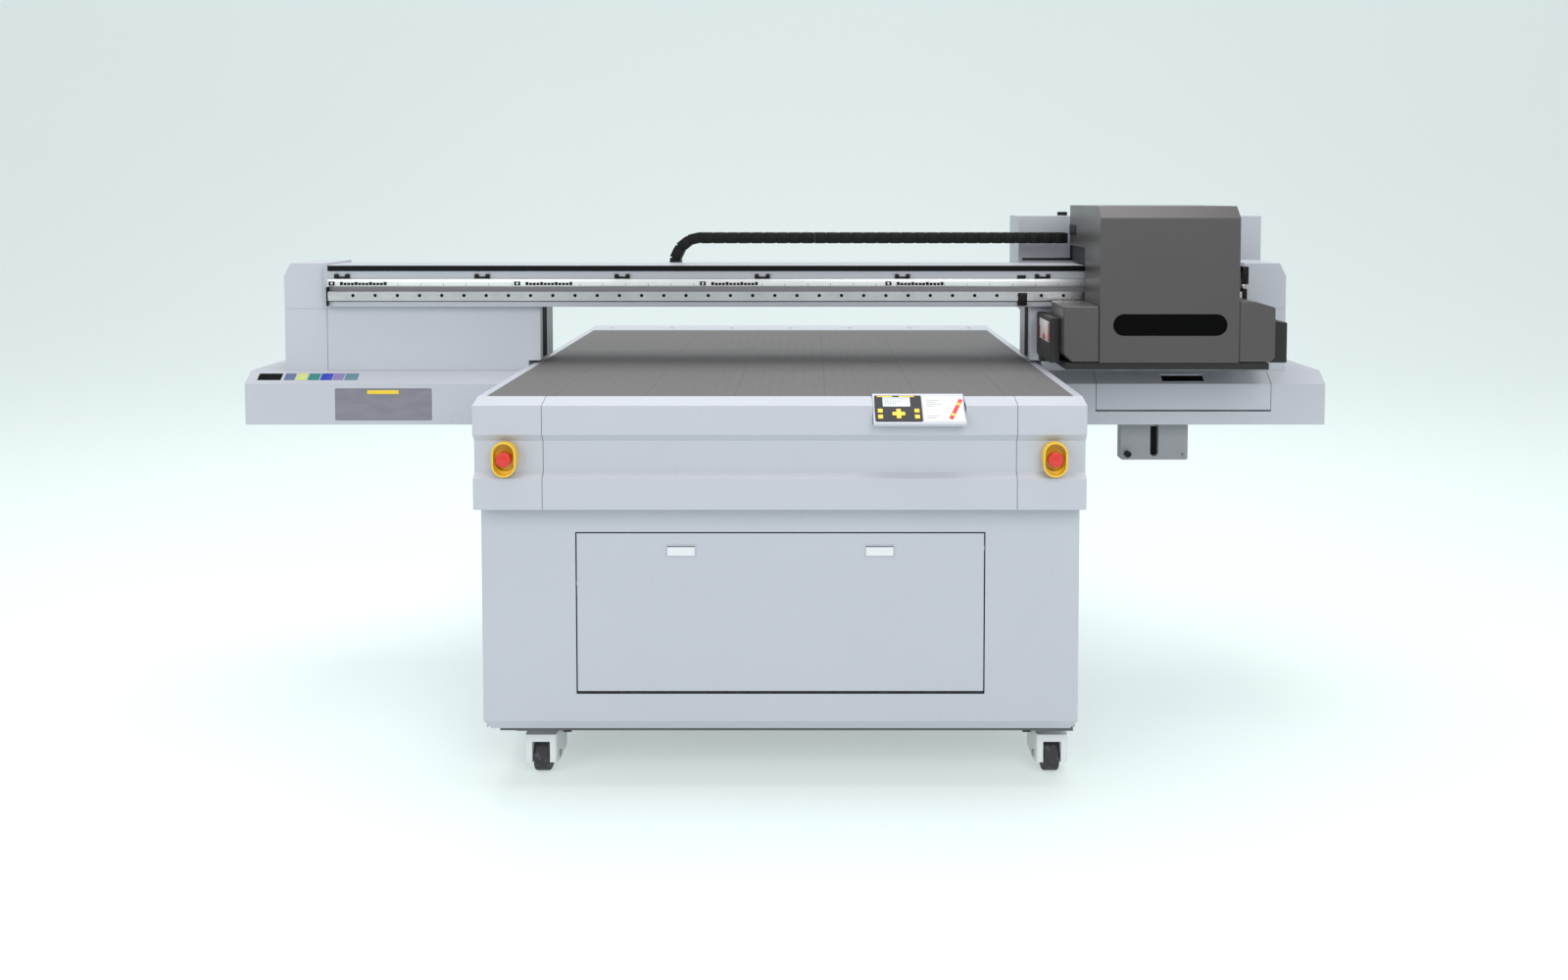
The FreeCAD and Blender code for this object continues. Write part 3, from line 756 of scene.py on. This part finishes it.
# ---------------------------------------------------------------- sub-assemblies
@dataclass
class Panels:
    """Folded covers whose bends catch the light, and the finishes of every other CAD piece."""

    folds: dict[str, float] = field(default_factory=lambda: {
        "front_fascia": 0.0022, "fascia_end_left": 0.0022, "fascia_end_right": 0.0022,
        "wing_left": 0.0016, "wing_right": 0.0016, "wing_hatch": 0.0007,
        "end_housing_left": 0.0012, "end_housing_right": 0.0012, "beam": 0.0015, "beam_legs": 0.0016,
        "carriage_cover": 0.0012, "carriage_base": 0.003, "lamp_left": 0.004, "lamp_right": 0.004,
        "rear_box": 0.0022, "panel_housing": 0.002, "bed_plate": 0.0012, "keypad_face": 0.0005,
        "display_window": 0.0004, "stop_guards": 0.0012, "service_box": 0.0015, "latch_left": 0.0005,
        "latch_right": 0.0005, "key_cross": 0.0006, "key_stop": 0.0006, "key_start": 0.0006,
        "key_up": 0.0006, "key_down": 0.0006, "deck_surround": 0.0006, "front_door": 0.0006,
        "cabinet_front": 0.0007, "caster_plates": 0.0012, "ink_window": 0.0004, "status_window": 0.0006,
        "fork_front_left": 0.0022, "fork_front_right": 0.0022, "fork_back_left": 0.0022,
        "fork_back_right": 0.0022, "brake_front_left": 0.0015, "brake_front_right": 0.0015,
    })

    def dress_frame(self) -> None:
        """Gives every CAD piece the finish of its slot."""
        for node, piece in frame["nodes"].items():
            WARDROBE.dress(piece, SLOT_OF[node])

    def build(self) -> None:
        """Rounds the bends of the covers."""
        self.dress_frame()
        for node, edge in self.folds.items():
            refine_node(node, edge)


@dataclass
class ControlPanel:
    """Printed sheets and marks on the tilted control face."""

    low: Vector = field(default_factory=lambda: Vector((0, FRONT - 78 * MM, 852 * MM)))
    angle: float = math.atan2(53, 76)
    rim: float = 0.0002
    line_left: float = 321
    line_tall: float = 1.4
    lines: tuple[tuple[float, float], ...] = ((70, 30), (64, 22), (58, 34), (52, 18), (22, 26), (16, 18))
    band_half: float = 0.0045
    band_long: float = 0.066
    band_lean: float = -24
    square: float = 8
    squares: tuple[tuple[float, float], ...] = ((374, 22), (388, 54))
    digit_left: float = 230
    digit_pitch: float = 5.6
    digit_rows: tuple[float, ...] = (71.5, 64.5, 57.5)

    def on_slope(self, piece: bpy.types.Object) -> bpy.types.Object:
        """Tilts a piece onto the face.

        Args:
            piece: the piece, built flat: x, up the slope, outwards.

        Returns:
            The settled piece.
        """
        piece.rotation_euler = (self.angle, 0, 0)
        piece.location = self.low
        settle(piece)
        return piece

    def sheet(self, x: Span, up: Span, out: Span, edge: float = 0.0) -> bpy.types.Object:
        """A thin plate on the face; all sizes in millimetres.

        Args:
            x: left and right.
            up: start and end up the slope.
            out: back and front above the face.
            edge: bevel in metres.

        Returns:
            The plate.
        """
        plate = block((x[0] * MM, up[0] * MM, out[0] * MM), (x[1] * MM, up[1] * MM, out[1] * MM), edge)
        return self.on_slope(plate)

    def build(self) -> None:
        """Adds the label sheet, the slanted red band with its squares, the bars and the display's marks."""
        label = self.sheet((314, 402), (6, 84), (0.05, 0.6), self.rim)
        keep(label, "panel_label", "cabinet", "panel_paint", "label_white")
        lines = [self.sheet((self.line_left, self.line_left + length), (up, up + self.line_tall), (0.6, 0.8))
                 for up, length in self.lines]
        keep(join(lines), "panel_label_lines", "cabinet", "panel_paint", "label_grey")
        band = block((-self.band_half, 0, 0.0005), (self.band_half, self.band_long, 0.0011), 0.0001)
        band.rotation_euler = (0, 0, math.radians(self.band_lean))
        band.location = (0.372, 0.013, 0)
        settle(band)
        keep(self.on_slope(band), "panel_red_band", "cabinet", "panel_paint", "label_red")
        squares = [self.sheet((x, x + self.square), (up, up + self.square), (1.1, 1.5), self.rim)
                   for x, up in self.squares]
        keep(join(squares), "panel_squares", "cabinet", "panel_paint", "guard_yellow")
        bars = [self.sheet((x, x + 34), (79, 82.4), (2.0, 2.5), self.rim) for x in (214, 262)]
        keep(join(bars), "keypad_bars", "cabinet", "keypad_black", "key_yellow")
        marks = []
        for line, up in enumerate(self.digit_rows):
            for column in range(9 - line * 2):
                x = self.digit_left + column * self.digit_pitch
                marks.append(self.sheet((x, x + 3.8), (up, up + 3.6), (2.4, 2.55)))
        keep(join(marks), "display_marks", "cabinet", "display_glass", "label_grey")


@dataclass
class BeamTrim:
    """What sits on the front of the beam: strips, clips, scale marks, rail screws and stops."""

    face: float = FRONT + 505 * MM
    half: float = 1.205
    clip_pitch: float = 0.369
    clip_count: int = 6
    clip_first: float = -1.1665
    clip_low: float = 1.1258
    screw_pitch: float = 0.0583
    screw_count: int = 40
    screw_first: float = -1.134
    screw_z: float = 1.082
    scale_first: float = -1.2025
    scale_pitch: float = 0.489
    scale_count: int = 4
    tick_pitch: float = 0.0096
    tick_count: int = 13
    tick_low: float = 1.1082
    ink: tuple[float, float] = (0.0029, 0.0024)
    leg_side: float = 0.6497

    def strip(self, out: float, z: Span, edge: float = 0.0, sunk: float = 0.001) -> bpy.types.Object:
        """A strip along the whole beam.

        Args:
            out: how far it stands out of the beam's face.
            z: lower and upper edge.
            edge: bevel width.
            sunk: how far its back lies inside the beam.

        Returns:
            The strip.
        """
        return block((-self.half, self.face - out, z[0]), (self.half, self.face + sunk, z[1]), edge)

    def pad(self, x: Span, out: float, z: Span, edge: float = 0.0, back: float = CLEAR) -> bpy.types.Object:
        """A block in front of the beam's face.

        Args:
            x: left and right.
            out: how far its front stands out of the face.
            z: bottom and top.
            edge: bevel width.
            back: how far its back stands out of the face.

        Returns:
            The block.
        """
        return block((x[0], self.face - out, z[0]), (x[1], self.face - back, z[1]), edge)

    def clip(self) -> bpy.types.Object:
        """The U-shaped clip at the left end of the row.

        Returns:
            The settled clip.
        """
        x, low = self.clip_first, self.clip_low
        parts = [self.pad((x + side, x + side + 0.0105), 0.007, (low, 1.1378), 0.0008)
                 for side in (-0.0198, 0.0093)]
        parts.append(self.pad((x - 0.0120, x + 0.0120), 0.005, (low, 1.1310), 0.0005))
        return join(parts)

    def scale_section(self, left: float) -> list[bpy.types.Object]:
        """One length of the scale: a figure of four strokes, then graduations, each fourth one longer.

        Args:
            left: where it starts along the beam.

        Returns:
            The settled marks.
        """
        front, back = self.ink
        marks = [self.pad((left + dx, left + dx + 0.0055), front, (1.1075, 1.1180), back=back)
                 for dx in (0.0, 0.0105)]
        marks += [self.pad((left + 0.003, left + 0.013), front, (z, z + 0.002), back=back)
                  for z in (1.1075, 1.1160)]
        for j in range(self.tick_count):
            x, tall = left + 0.030 + j * self.tick_pitch, 0.0085 if j % 4 == 0 else 0.0065
            marks.append(self.pad((x, x + 0.0078), front, (self.tick_low, self.tick_low + tall), back=back))
        return marks

    def strips(self) -> None:
        """Adds what runs along the beam: seal, scale, ledge, clips, a strip of painted shadow in the groove,
        and scale marks.
        """
        keep(self.strip(0.003, (1.1455, 1.1597), 0.0006), "seal_strip", "gantry", "beam_paint", "strip_black")
        scale = self.strip(0.0025, (1.1048, 1.1245), 0.0003)
        keep(scale, "scale_strip", "gantry", "beam_paint", "scale_strip")
        keep(self.strip(0.0012, (1.1252, 1.1262)), "scale_edge", "gantry", "beam_paint", "edge_line_and_groove_shadow")
        keep(self.strip(0.006, (1.0515, 1.0655), 0.001), "rail_ledge", "gantry", "beam_paint")
        clips = row(self.clip(), self.clip_pitch, self.clip_count)
        keep(clips, "strip_clips", "gantry", "beam_paint", "clip_black")
        # a dark grey strip that paints the shadow in the groove between the scale and the rail
        groove = self.strip(0.0015, (1.0925, 1.1042), sunk=0.003)
        keep(groove, "shadow_groove", "gantry", "beam_paint", "edge_line_and_groove_shadow")
        marks = [mark for i in range(self.scale_count)
                 for mark in self.scale_section(self.scale_first + i * self.scale_pitch)]
        keep(join(marks), "scale_marks", "gantry", "beam_paint", "tag_black")

    def fittings(self) -> None:
        """Adds the travel stop, rail ends, rail screws, end sensor and thin black sheets that paint the shade
        in the slots of the legs.
        """
        stop = join([self.pad((0.612, 0.636), 0.0175, (1.0555, 1.0890), 0.0008, 0.0155),
                     self.pad((0.612, 0.636), 0.0165, (1.0555, 1.0675), 0.0008),
                     self.pad((0.612, 0.634), 0.006, (1.1255, 1.1345), 0.001)])
        keep(stop, "travel_stop", "gantry", "beam_paint", "clip_black")
        ends = [self.pad((x, x + 0.0022), 0.0165, (1.0540, 1.1040)) for x in (-1.2035, 1.2013)]
        keep(join(ends), "rail_ends", "gantry", "beam_paint", "tag_black")
        first, z = self.screw_first, self.screw_z
        screw = drum(0.0044, (first, self.face - 0.0150, z), (first, self.face - 0.0072, z), 16)
        screws = row(screw, self.screw_pitch, self.screw_count)
        keep(screws, "rail_screws", "gantry", "rail_steel", "tag_black")
        cap = join([self.pad((1.2005, 1.2135), 0.016, (1.062, 1.100), 0.0015),
                    self.pad((1.2000, 1.2155), 0.020, (1.112, 1.158), 0.0015)])
        keep(cap, "beam_end_sensor", "gantry", "beam_paint", "clip_black")
        bits = join([self.pad((1.2005, 1.2100), 0.018, (1.1005, 1.1115), 0.001),
                     self.pad((1.2005, 1.2120), 0.018, (1.0530, 1.0610), 0.001)])
        keep(bits, "beam_end_bits", "gantry", "beam_paint", "bolt_steel")
        # thin black sheets on the legs' sides that paint the shade in their slots
        slot_shadows = [block((s * self.leg_side - 0.0004, FRONT + 0.550, 0.912),
                        (s * self.leg_side + 0.0004, FRONT + 0.598, 1.048)) for s in (-1, 1)]
        keep(join(slot_shadows), "leg_slot_shadows", "gantry", "panel_paint", "tag_black")

    def build(self) -> None:
        """Adds the trim."""
        self.strips()
        self.fittings()


@dataclass
class WingTrim:
    """Ink colour tags and window strip on the left wing; hatch pull and service box details on the right."""

    bevel: float = math.atan2(30, 36)
    tag_up: tuple[float, float] = (0.013, 0.036)
    tags: tuple[tuple[float, float, str], ...] = (
        (-1.394, 0.062, "tag_black"), (-1.324, 0.028, "tag_slate"), (-1.293, 0.028, "tag_lime"),
        (-1.261, 0.030, "tag_teal"), (-1.228, 0.031, "tag_blue"), (-1.195, 0.028, "tag_lilac"),
        (-1.164, 0.034, "tag_sea"),
    )
    slot_x: float = 0.989
    slot_z: float = 0.656
    knob_x: float = 0.915
    knob_z: float = 0.654

    def on_bevel(self, piece: bpy.types.Object) -> bpy.types.Object:
        """Tilts a piece onto the wing's sloping edge.

        Args:
            piece: the piece, built flat: x, up, outwards.

        Returns:
            The settled piece.
        """
        piece.rotation_euler = (self.bevel, 0, 0)
        piece.location = (0, FRONT + 488 * MM, 849 * MM)
        settle(piece)
        return piece

    def build(self) -> None:
        """Adds the tags, the strip, a black sheet that paints the shade in the hatch pull, and the service
        box's knob and a black sheet that paints the shade in its slot.
        """
        low, high = self.tag_up
        for left, width, finish in self.tags:
            tag = self.on_bevel(block((left, low, -0.0004), (left + width, high, 0.0006), 0.0002))
            keep(tag, "ink_" + finish, "gantry", "panel_paint", finish)
        strip = block((-1.100, FRONT + 487.6 * MM, 0.822), (-1.017, FRONT + 488.8 * MM, 0.832), 0.0002)
        keep(strip, "window_strip", "gantry", "panel_paint", "key_yellow")
        # a black sheet behind the hatch pull that paints the shade inside its recess
        pull = self.on_bevel(block((0.9952, 0.0135, -0.0045), (1.1058, 0.0330, -0.0030)))
        keep(pull, "hatch_pull_shade", "hatch", "panel_paint", "tag_black")
        # a black sheet behind the service box's slot that paints the shade inside it
        x, z = self.slot_x, self.slot_z
        slot = drum(0.0098, (x, FRONT + 551.3 * MM, z), (x, FRONT + 551.9 * MM, z))
        web = block((0.9795, FRONT + 551.2 * MM, z), (0.9985, FRONT + 551.9 * MM, 0.724))
        keep(join([slot, web]), "service_slot_shade", "gantry", "service_paint", "tag_black")
        x, z = self.knob_x, self.knob_z
        knob = drum(0.0086, (x, FRONT + 521.8 * MM, z), (x, FRONT + 533 * MM, z), 24, 0.001)
        keep(knob, "service_knob", "gantry", "service_paint", "clip_black")


@dataclass
class CarriageTrim:
    """Warning label, chain bracket, rear cap and nozzle plates of the print carriage."""

    side: float = 668 * MM
    mark_low: float = 0.976
    marks: tuple[tuple[float, float, float], ...] = (
        (0.358, 0.012, 0.048), (0.405, 0.030, 0.014), (0.470, 0.008, 0.030),
    )
    bracket_y: tuple[float, float] = (FRONT + 0.6535, FRONT + 0.6615)
    cap_x: float = 0.802
    cap_y: float = FRONT + 0.850
    head_pitch: float = 0.072
    head_count: int = 4

    def build(self) -> None:
        """Adds the warning label with its marks, the bracket, the cap and the nozzle plates."""
        side, low = self.side, self.mark_low
        plate = block((side - 0.0008, FRONT + 0.358, 0.974), (side + 0.0002, FRONT + 0.480, 1.026), 0.0002)
        keep(plate, "warning_plate", "carriage", "carriage_paint", "label_white")
        marks = [block((side - 0.0012, FRONT + y, low), (side - 0.0006, FRONT + y + wide, low + tall), 0.0001)
                 for y, wide, tall in self.marks]
        keep(join(marks), "warning_marks", "carriage", "carriage_paint", "label_red")
        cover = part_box("carriage_cover")[0][0]
        front, back = self.bracket_y
        bracket = join([
            block((cover - 0.0012, FRONT + 0.575, 1.238), (cover + 0.0002, FRONT + 0.6525, 1.265)),
            block((0.652, front, 1.1655), (0.790, back, 1.1725), 0.001),
            block((0.784, front, 1.166), (0.816, back, 1.264), 0.001),
        ])
        keep(bracket, "chain_bracket", "carriage", "carriage_paint", "clip_black")
        cap = drum(0.0145, (self.cap_x, self.cap_y, 1.286), (self.cap_x, self.cap_y, 1.2975), 32, 0.002)
        keep(cap, "rear_cap", "carriage", "panel_paint", "clip_black")
        nozzles = [block((0.824 + i * self.head_pitch, FRONT + 0.334, 0.9078),
                         (0.864 + i * self.head_pitch, FRONT + 0.392, 0.9085))
                   for i in range(self.head_count)]
        keep(join(nozzles), "nozzle_plates", "carriage", "head_metal", "bolt_steel")


@dataclass
class CableChain:
    """Links of the cable chain: each a black frame, narrower between its joints."""

    pitch: float = 0.035
    radius: float = 0.072
    top: float = 1.227
    bend_x: float = -0.236
    bend_links: int = 7
    end_x: float = 0.814
    lower: float = 0.875
    y: tuple[float, float] = (FRONT + 0.663, FRONT + 0.717)
    tall: float = 0.0148
    plate: float = 0.006
    waist: float = 0.94

    def link(self) -> bpy.types.Object:
        """One link standing at the origin: two side plates with waists, and two cross bars.

        Returns:
            The settled link.
        """
        half, tall, inner = self.pitch / 2, self.tall, self.tall * self.waist
        depth = self.y[1] - self.y[0]
        parts = []
        for y in (0.0, depth - self.plate):
            parts.append(block((-half + 0.0003, y, -tall), (half * 0.55, y + self.plate, tall), 0.0008))
            parts.append(block((half * 0.50, y + 0.0010, -inner), (half, y + 0.0050, inner), 0.0006))
        for z in (-tall, tall - 0.0035):
            parts.append(block((-half * 0.85, 0.005, z + 0.0003),
                               (half * 0.75, depth - 0.005, z + 0.0032), 0.0006))
        return join(parts)

    def place(self, link: bpy.types.Object, x: float, z: float, turn: float = 0.0) -> bpy.types.Object:
        """A copy of the link at its place in the chain.

        Args:
            link: the link at the origin.
            x: place along the beam.
            z: height.
            turn: turn about Y in radians.

        Returns:
            The settled copy.
        """
        select_only(link)
        bpy.ops.object.duplicate(linked=False)
        twin = bpy.context.object
        twin.rotation_euler = (0, turn, 0)
        twin.location = (x, self.y[0], z)
        settle(twin)
        return twin

    def build(self) -> None:
        """Builds the upper run, which shortens with the carriage, and the bend with its lower run."""
        link = self.link()
        count = int((self.end_x - self.bend_x) / self.pitch)
        upper = [self.place(link, self.bend_x + (i + 0.5) * self.pitch, self.top) for i in range(count)]
        run = join(upper)
        keep(run, "chain_links_upper", "carriage", "chain_plastic")
        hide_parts("chain_upper")
        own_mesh(run)
        middle = self.top - self.radius
        around = []
        for i in range(self.bend_links):
            angle = math.pi * (i + 0.5) / self.bend_links
            around.append(self.place(link, self.bend_x - self.radius * math.sin(angle),
                                     middle + self.radius * math.cos(angle), -angle))
        bottom = self.top - 2 * self.radius
        for i in range(int(self.lower / self.pitch)):
            around.append(self.place(link, self.bend_x + (i + 0.5) * self.pitch, bottom))
        loop = join(around)
        keep(loop, "chain_links_loop", "chain_bend", "chain_plastic")
        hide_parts("chain_loop")
        select_only(link)
        bpy.ops.object.delete()


@dataclass
class CasterTrim:
    """Mounting bolts and axle caps of the four casters."""

    axle_z: float = 0.0375
    trail: float = 0.022
    cap_from: float = 0.0357
    cap_to: float = 0.0385
    bolt_x: float = 0.030
    bolt_y: float = 0.039

    def build(self) -> None:
        """Adds the trim of each caster."""
        for end in ("front", "back"):
            for side in ("left", "right"):
                self.one(end + "_" + side)

    def one(self, name: str) -> None:
        """Adds the trim of one caster.

        Args:
            name: the caster's end and side, such as front_left.
        """
        low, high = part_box("wheel_" + name)
        x, y, z = (low[0] + high[0]) / 2, (low[1] + high[1]) / 2, self.axle_z
        caps = [drum(0.0085, (x + s * self.cap_from, y, z), (x + s * self.cap_to, y, z), 24, 0.0006)
                for s in (-1, 1)]
        keep(join(caps), "axle_caps_" + name, "swivel_" + name, "caster_paint", "hub_grey")
        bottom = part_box("caster_plates")[0][2]
        stem = y + self.trail
        bolts = [drum(0.0065, (x + dx, stem + dy, bottom - 0.004), (x + dx, stem + dy, bottom + 0.001), 6)
                 for dx in (-self.bolt_x, self.bolt_x) for dy in (-self.bolt_y, self.bolt_y)]
        keep(join(bolts), "plate_bolts_" + name, "cabinet", "caster_paint", "bolt_steel")


@dataclass
class CabinetTrim:
    """Screws on the rear deck, the red buttons' caps, a black frame that paints the shadow round the door,
    and the gaps beside the bed.
    """

    deck_y: float = FRONT + 1.375
    deck_z: float = 0.899
    screw_first: float = -0.60
    screw_pitch: float = 0.2
    screw_count: int = 7
    stop_x: float = 0.6
    stop_z: float = 0.770
    door_low: float = 0.2280
    door_high: float = 0.5906
    door_gap: float = 0.0006
    door_shadow_wide: float = 0.0024
    bed_side: float = 0.6505

    def paint_door_shadow(self) -> None:
        """Adds a black frame that paints the shadow in the gap round the front door."""
        low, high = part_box("front_door")
        x0, x1, z0, z1 = low[0] - self.door_gap, high[0] + self.door_gap, self.door_low, self.door_high
        wide, front, back = self.door_shadow_wide, FRONT - CLEAR, FRONT + 0.0006
        # a black frame on the cabinet's face that paints the shadow in the door's gap
        trim = [block((x0 - wide, front, z0), (x0, back, z1)), block((x1, front, z0), (x1 + wide, back, z1)),
                block((x0 - wide, front, z1), (x1 + wide, back, z1 + wide)),
                block((x0 - wide, front, z0 - wide), (x1 + wide, back, z0))]
        keep(join(trim), "door_shadow_frame", "cabinet", "panel_paint", "shadow_gap")

    def build(self) -> None:
        """Adds the trim."""
        x, y, z = self.screw_first, self.deck_y, self.deck_z
        screw = drum(0.006, (x, y, z - 0.001), (x, y, z + 0.0008), 16)
        screws = row(screw, self.screw_pitch, self.screw_count)
        keep(screws, "deck_screws", "cabinet", "panel_paint", "bolt_steel")
        for side, sign in (("left", -1), ("right", 1)):
            x, z = sign * self.stop_x, self.stop_z
            cap = drum(0.0085, (x, FRONT - 69.3 * MM, z), (x, FRONT - 68.6 * MM, z), 32, 0.0002)
            keep(cap, "stop_cap_" + side, "stop_" + side[0], "button_red", "button_red")
        self.paint_door_shadow()
        gaps = [block((s * self.bed_side - 0.0004, FRONT + 0.001, 0.8985),
                      (s * self.bed_side + 0.0004, FRONT + 1.30, 0.8992)) for s in (-1, 1)]
        keep(join(gaps), "bed_gap", "cabinet", "panel_paint", "shadow_gap")


# ---------------------------------------------------------------- studio
@dataclass(frozen=True)
class Lamp:
    """One soft square light: where it stands, the point it faces, its side in metres and its watts."""

    name: str
    place: tuple[float, float, float]
    aim: tuple[float, float, float]
    size: float
    power: float

    def build(self) -> None:
        """Adds the light."""
        clear_selection()
        bpy.ops.object.light_add(type="AREA", location=self.place)
        lamp = bpy.context.object
        lamp.name = self.name
        lamp.data.size = self.size
        lamp.data.energy = self.power
        lamp.rotation_mode = "QUATERNION"
        lamp.rotation_quaternion = (Vector(self.aim) - Vector(self.place)).to_track_quat("-Z", "Y")


@dataclass
class Studio:
    """Pale floor and backdrop, soft lights and the camera."""

    eye: tuple[float, float, float] = (0.0677, FRONT - 2.6348, 1.3411)
    lens: float = 27.40
    shift: tuple[float, float] = (-0.0170, -0.1538)
    tilt: float = 2.5
    far: float = 200
    floor_place: tuple[float, float, float] = (0, -4, 0)
    floor_size: tuple[float, float, float] = (44, 28, 1)
    wall: float = 16
    bend: float = 5.0
    bend_segments: int = 16
    glow: float = 0.44
    sky: tuple[float, float, float, float] = (0.96, 0.98, 1.0, 1)
    sky_strength: float = 0.50
    lamps: tuple[Lamp, ...] = (
        Lamp("key", (1.4, FRONT - 3.6, 3.1), (0.1, 0.0, 0.8), 2.4, 82),
        Lamp("fill", (-3.0, FRONT - 3.0, 2.6), (0.0, 0.0, 0.7), 2.6, 52),
        Lamp("top", (0.0, 0.4, 5.6), (0.0, 0.0, 0.9), 5.0, 260),
    )

    def floor(self) -> None:
        """One sheet that runs along the floor and curves up behind."""
        clear_selection()
        bpy.ops.mesh.primitive_plane_add(size=1, location=self.floor_place)
        sheet = bpy.context.object
        sheet.scale = self.floor_size
        settle(sheet)
        back = max(vertex.co.y for vertex in sheet.data.vertices)
        bpy.ops.object.mode_set(mode="EDIT")
        bpy.ops.mesh.select_mode(type="EDGE")
        bpy.ops.mesh.select_all(action="DESELECT")
        bpy.ops.object.mode_set(mode="OBJECT")
        for edge in sheet.data.edges:
            edge.select = all(sheet.data.vertices[i].co.y > back - 0.01 for i in edge.vertices)
        bpy.ops.object.mode_set(mode="EDIT")
        bpy.ops.mesh.extrude_region_move(TRANSFORM_OT_translate={"value": (0, 0, self.wall)})
        bpy.ops.object.mode_set(mode="OBJECT")
        finish_edges(sheet, self.bend, self.bend_segments)
        kit = NodeKit("studio_floor")
        cloud = kit.noise(0.6, 2.0)
        kit.surface(Base_Color=kit.mix(cloud, (0.48, 0.53, 0.53), (0.50, 0.55, 0.55)),
                    Roughness=cloud * 0.1 + 0.7, Specular_IOR_Level=0.1,
                    Emission_Color=(0.90, 1.0, 0.985), Emission_Strength=self.glow)
        sheet.data.materials.append(kit.material)
        sheet.name = "floor"

    def world(self) -> None:
        """Even pale surroundings."""
        world = bpy.data.worlds.new("studio")
        bpy.context.scene.world = world
        world.use_nodes = True
        background = world.node_tree.nodes["Background"]
        background.inputs["Color"].default_value = self.sky
        background.inputs["Strength"].default_value = self.sky_strength

    def camera(self) -> None:
        """A camera in front, a little right of the middle and tipped slightly down."""
        clear_selection()
        bpy.ops.object.camera_add(location=self.eye, rotation=(math.radians(90 - self.tilt), 0, 0))
        camera = bpy.context.object
        camera.data.lens = self.lens
        camera.data.shift_x, camera.data.shift_y = self.shift
        camera.data.clip_end = self.far
        bpy.context.scene.camera = camera

    def build(self) -> None:
        """Sets everything up."""
        self.floor()
        self.world()
        for lamp in self.lamps:
            lamp.build()
        bpy.context.scene.view_settings.view_transform = "Standard"
        self.camera()


def main() -> None:
    """Builds the printer's looks in order."""
    logging.basicConfig(level=logging.INFO, format="%(name)s: %(message)s")
    for part in (Panels(), ControlPanel(), BeamTrim(), WingTrim(), CarriageTrim(), CableChain(), CasterTrim(),
                 CabinetTrim(), Studio()):
        LOG.info("building %s", type(part).__name__)
        part.build()
    clear_selection()


if __name__ == "__main__":
    main()
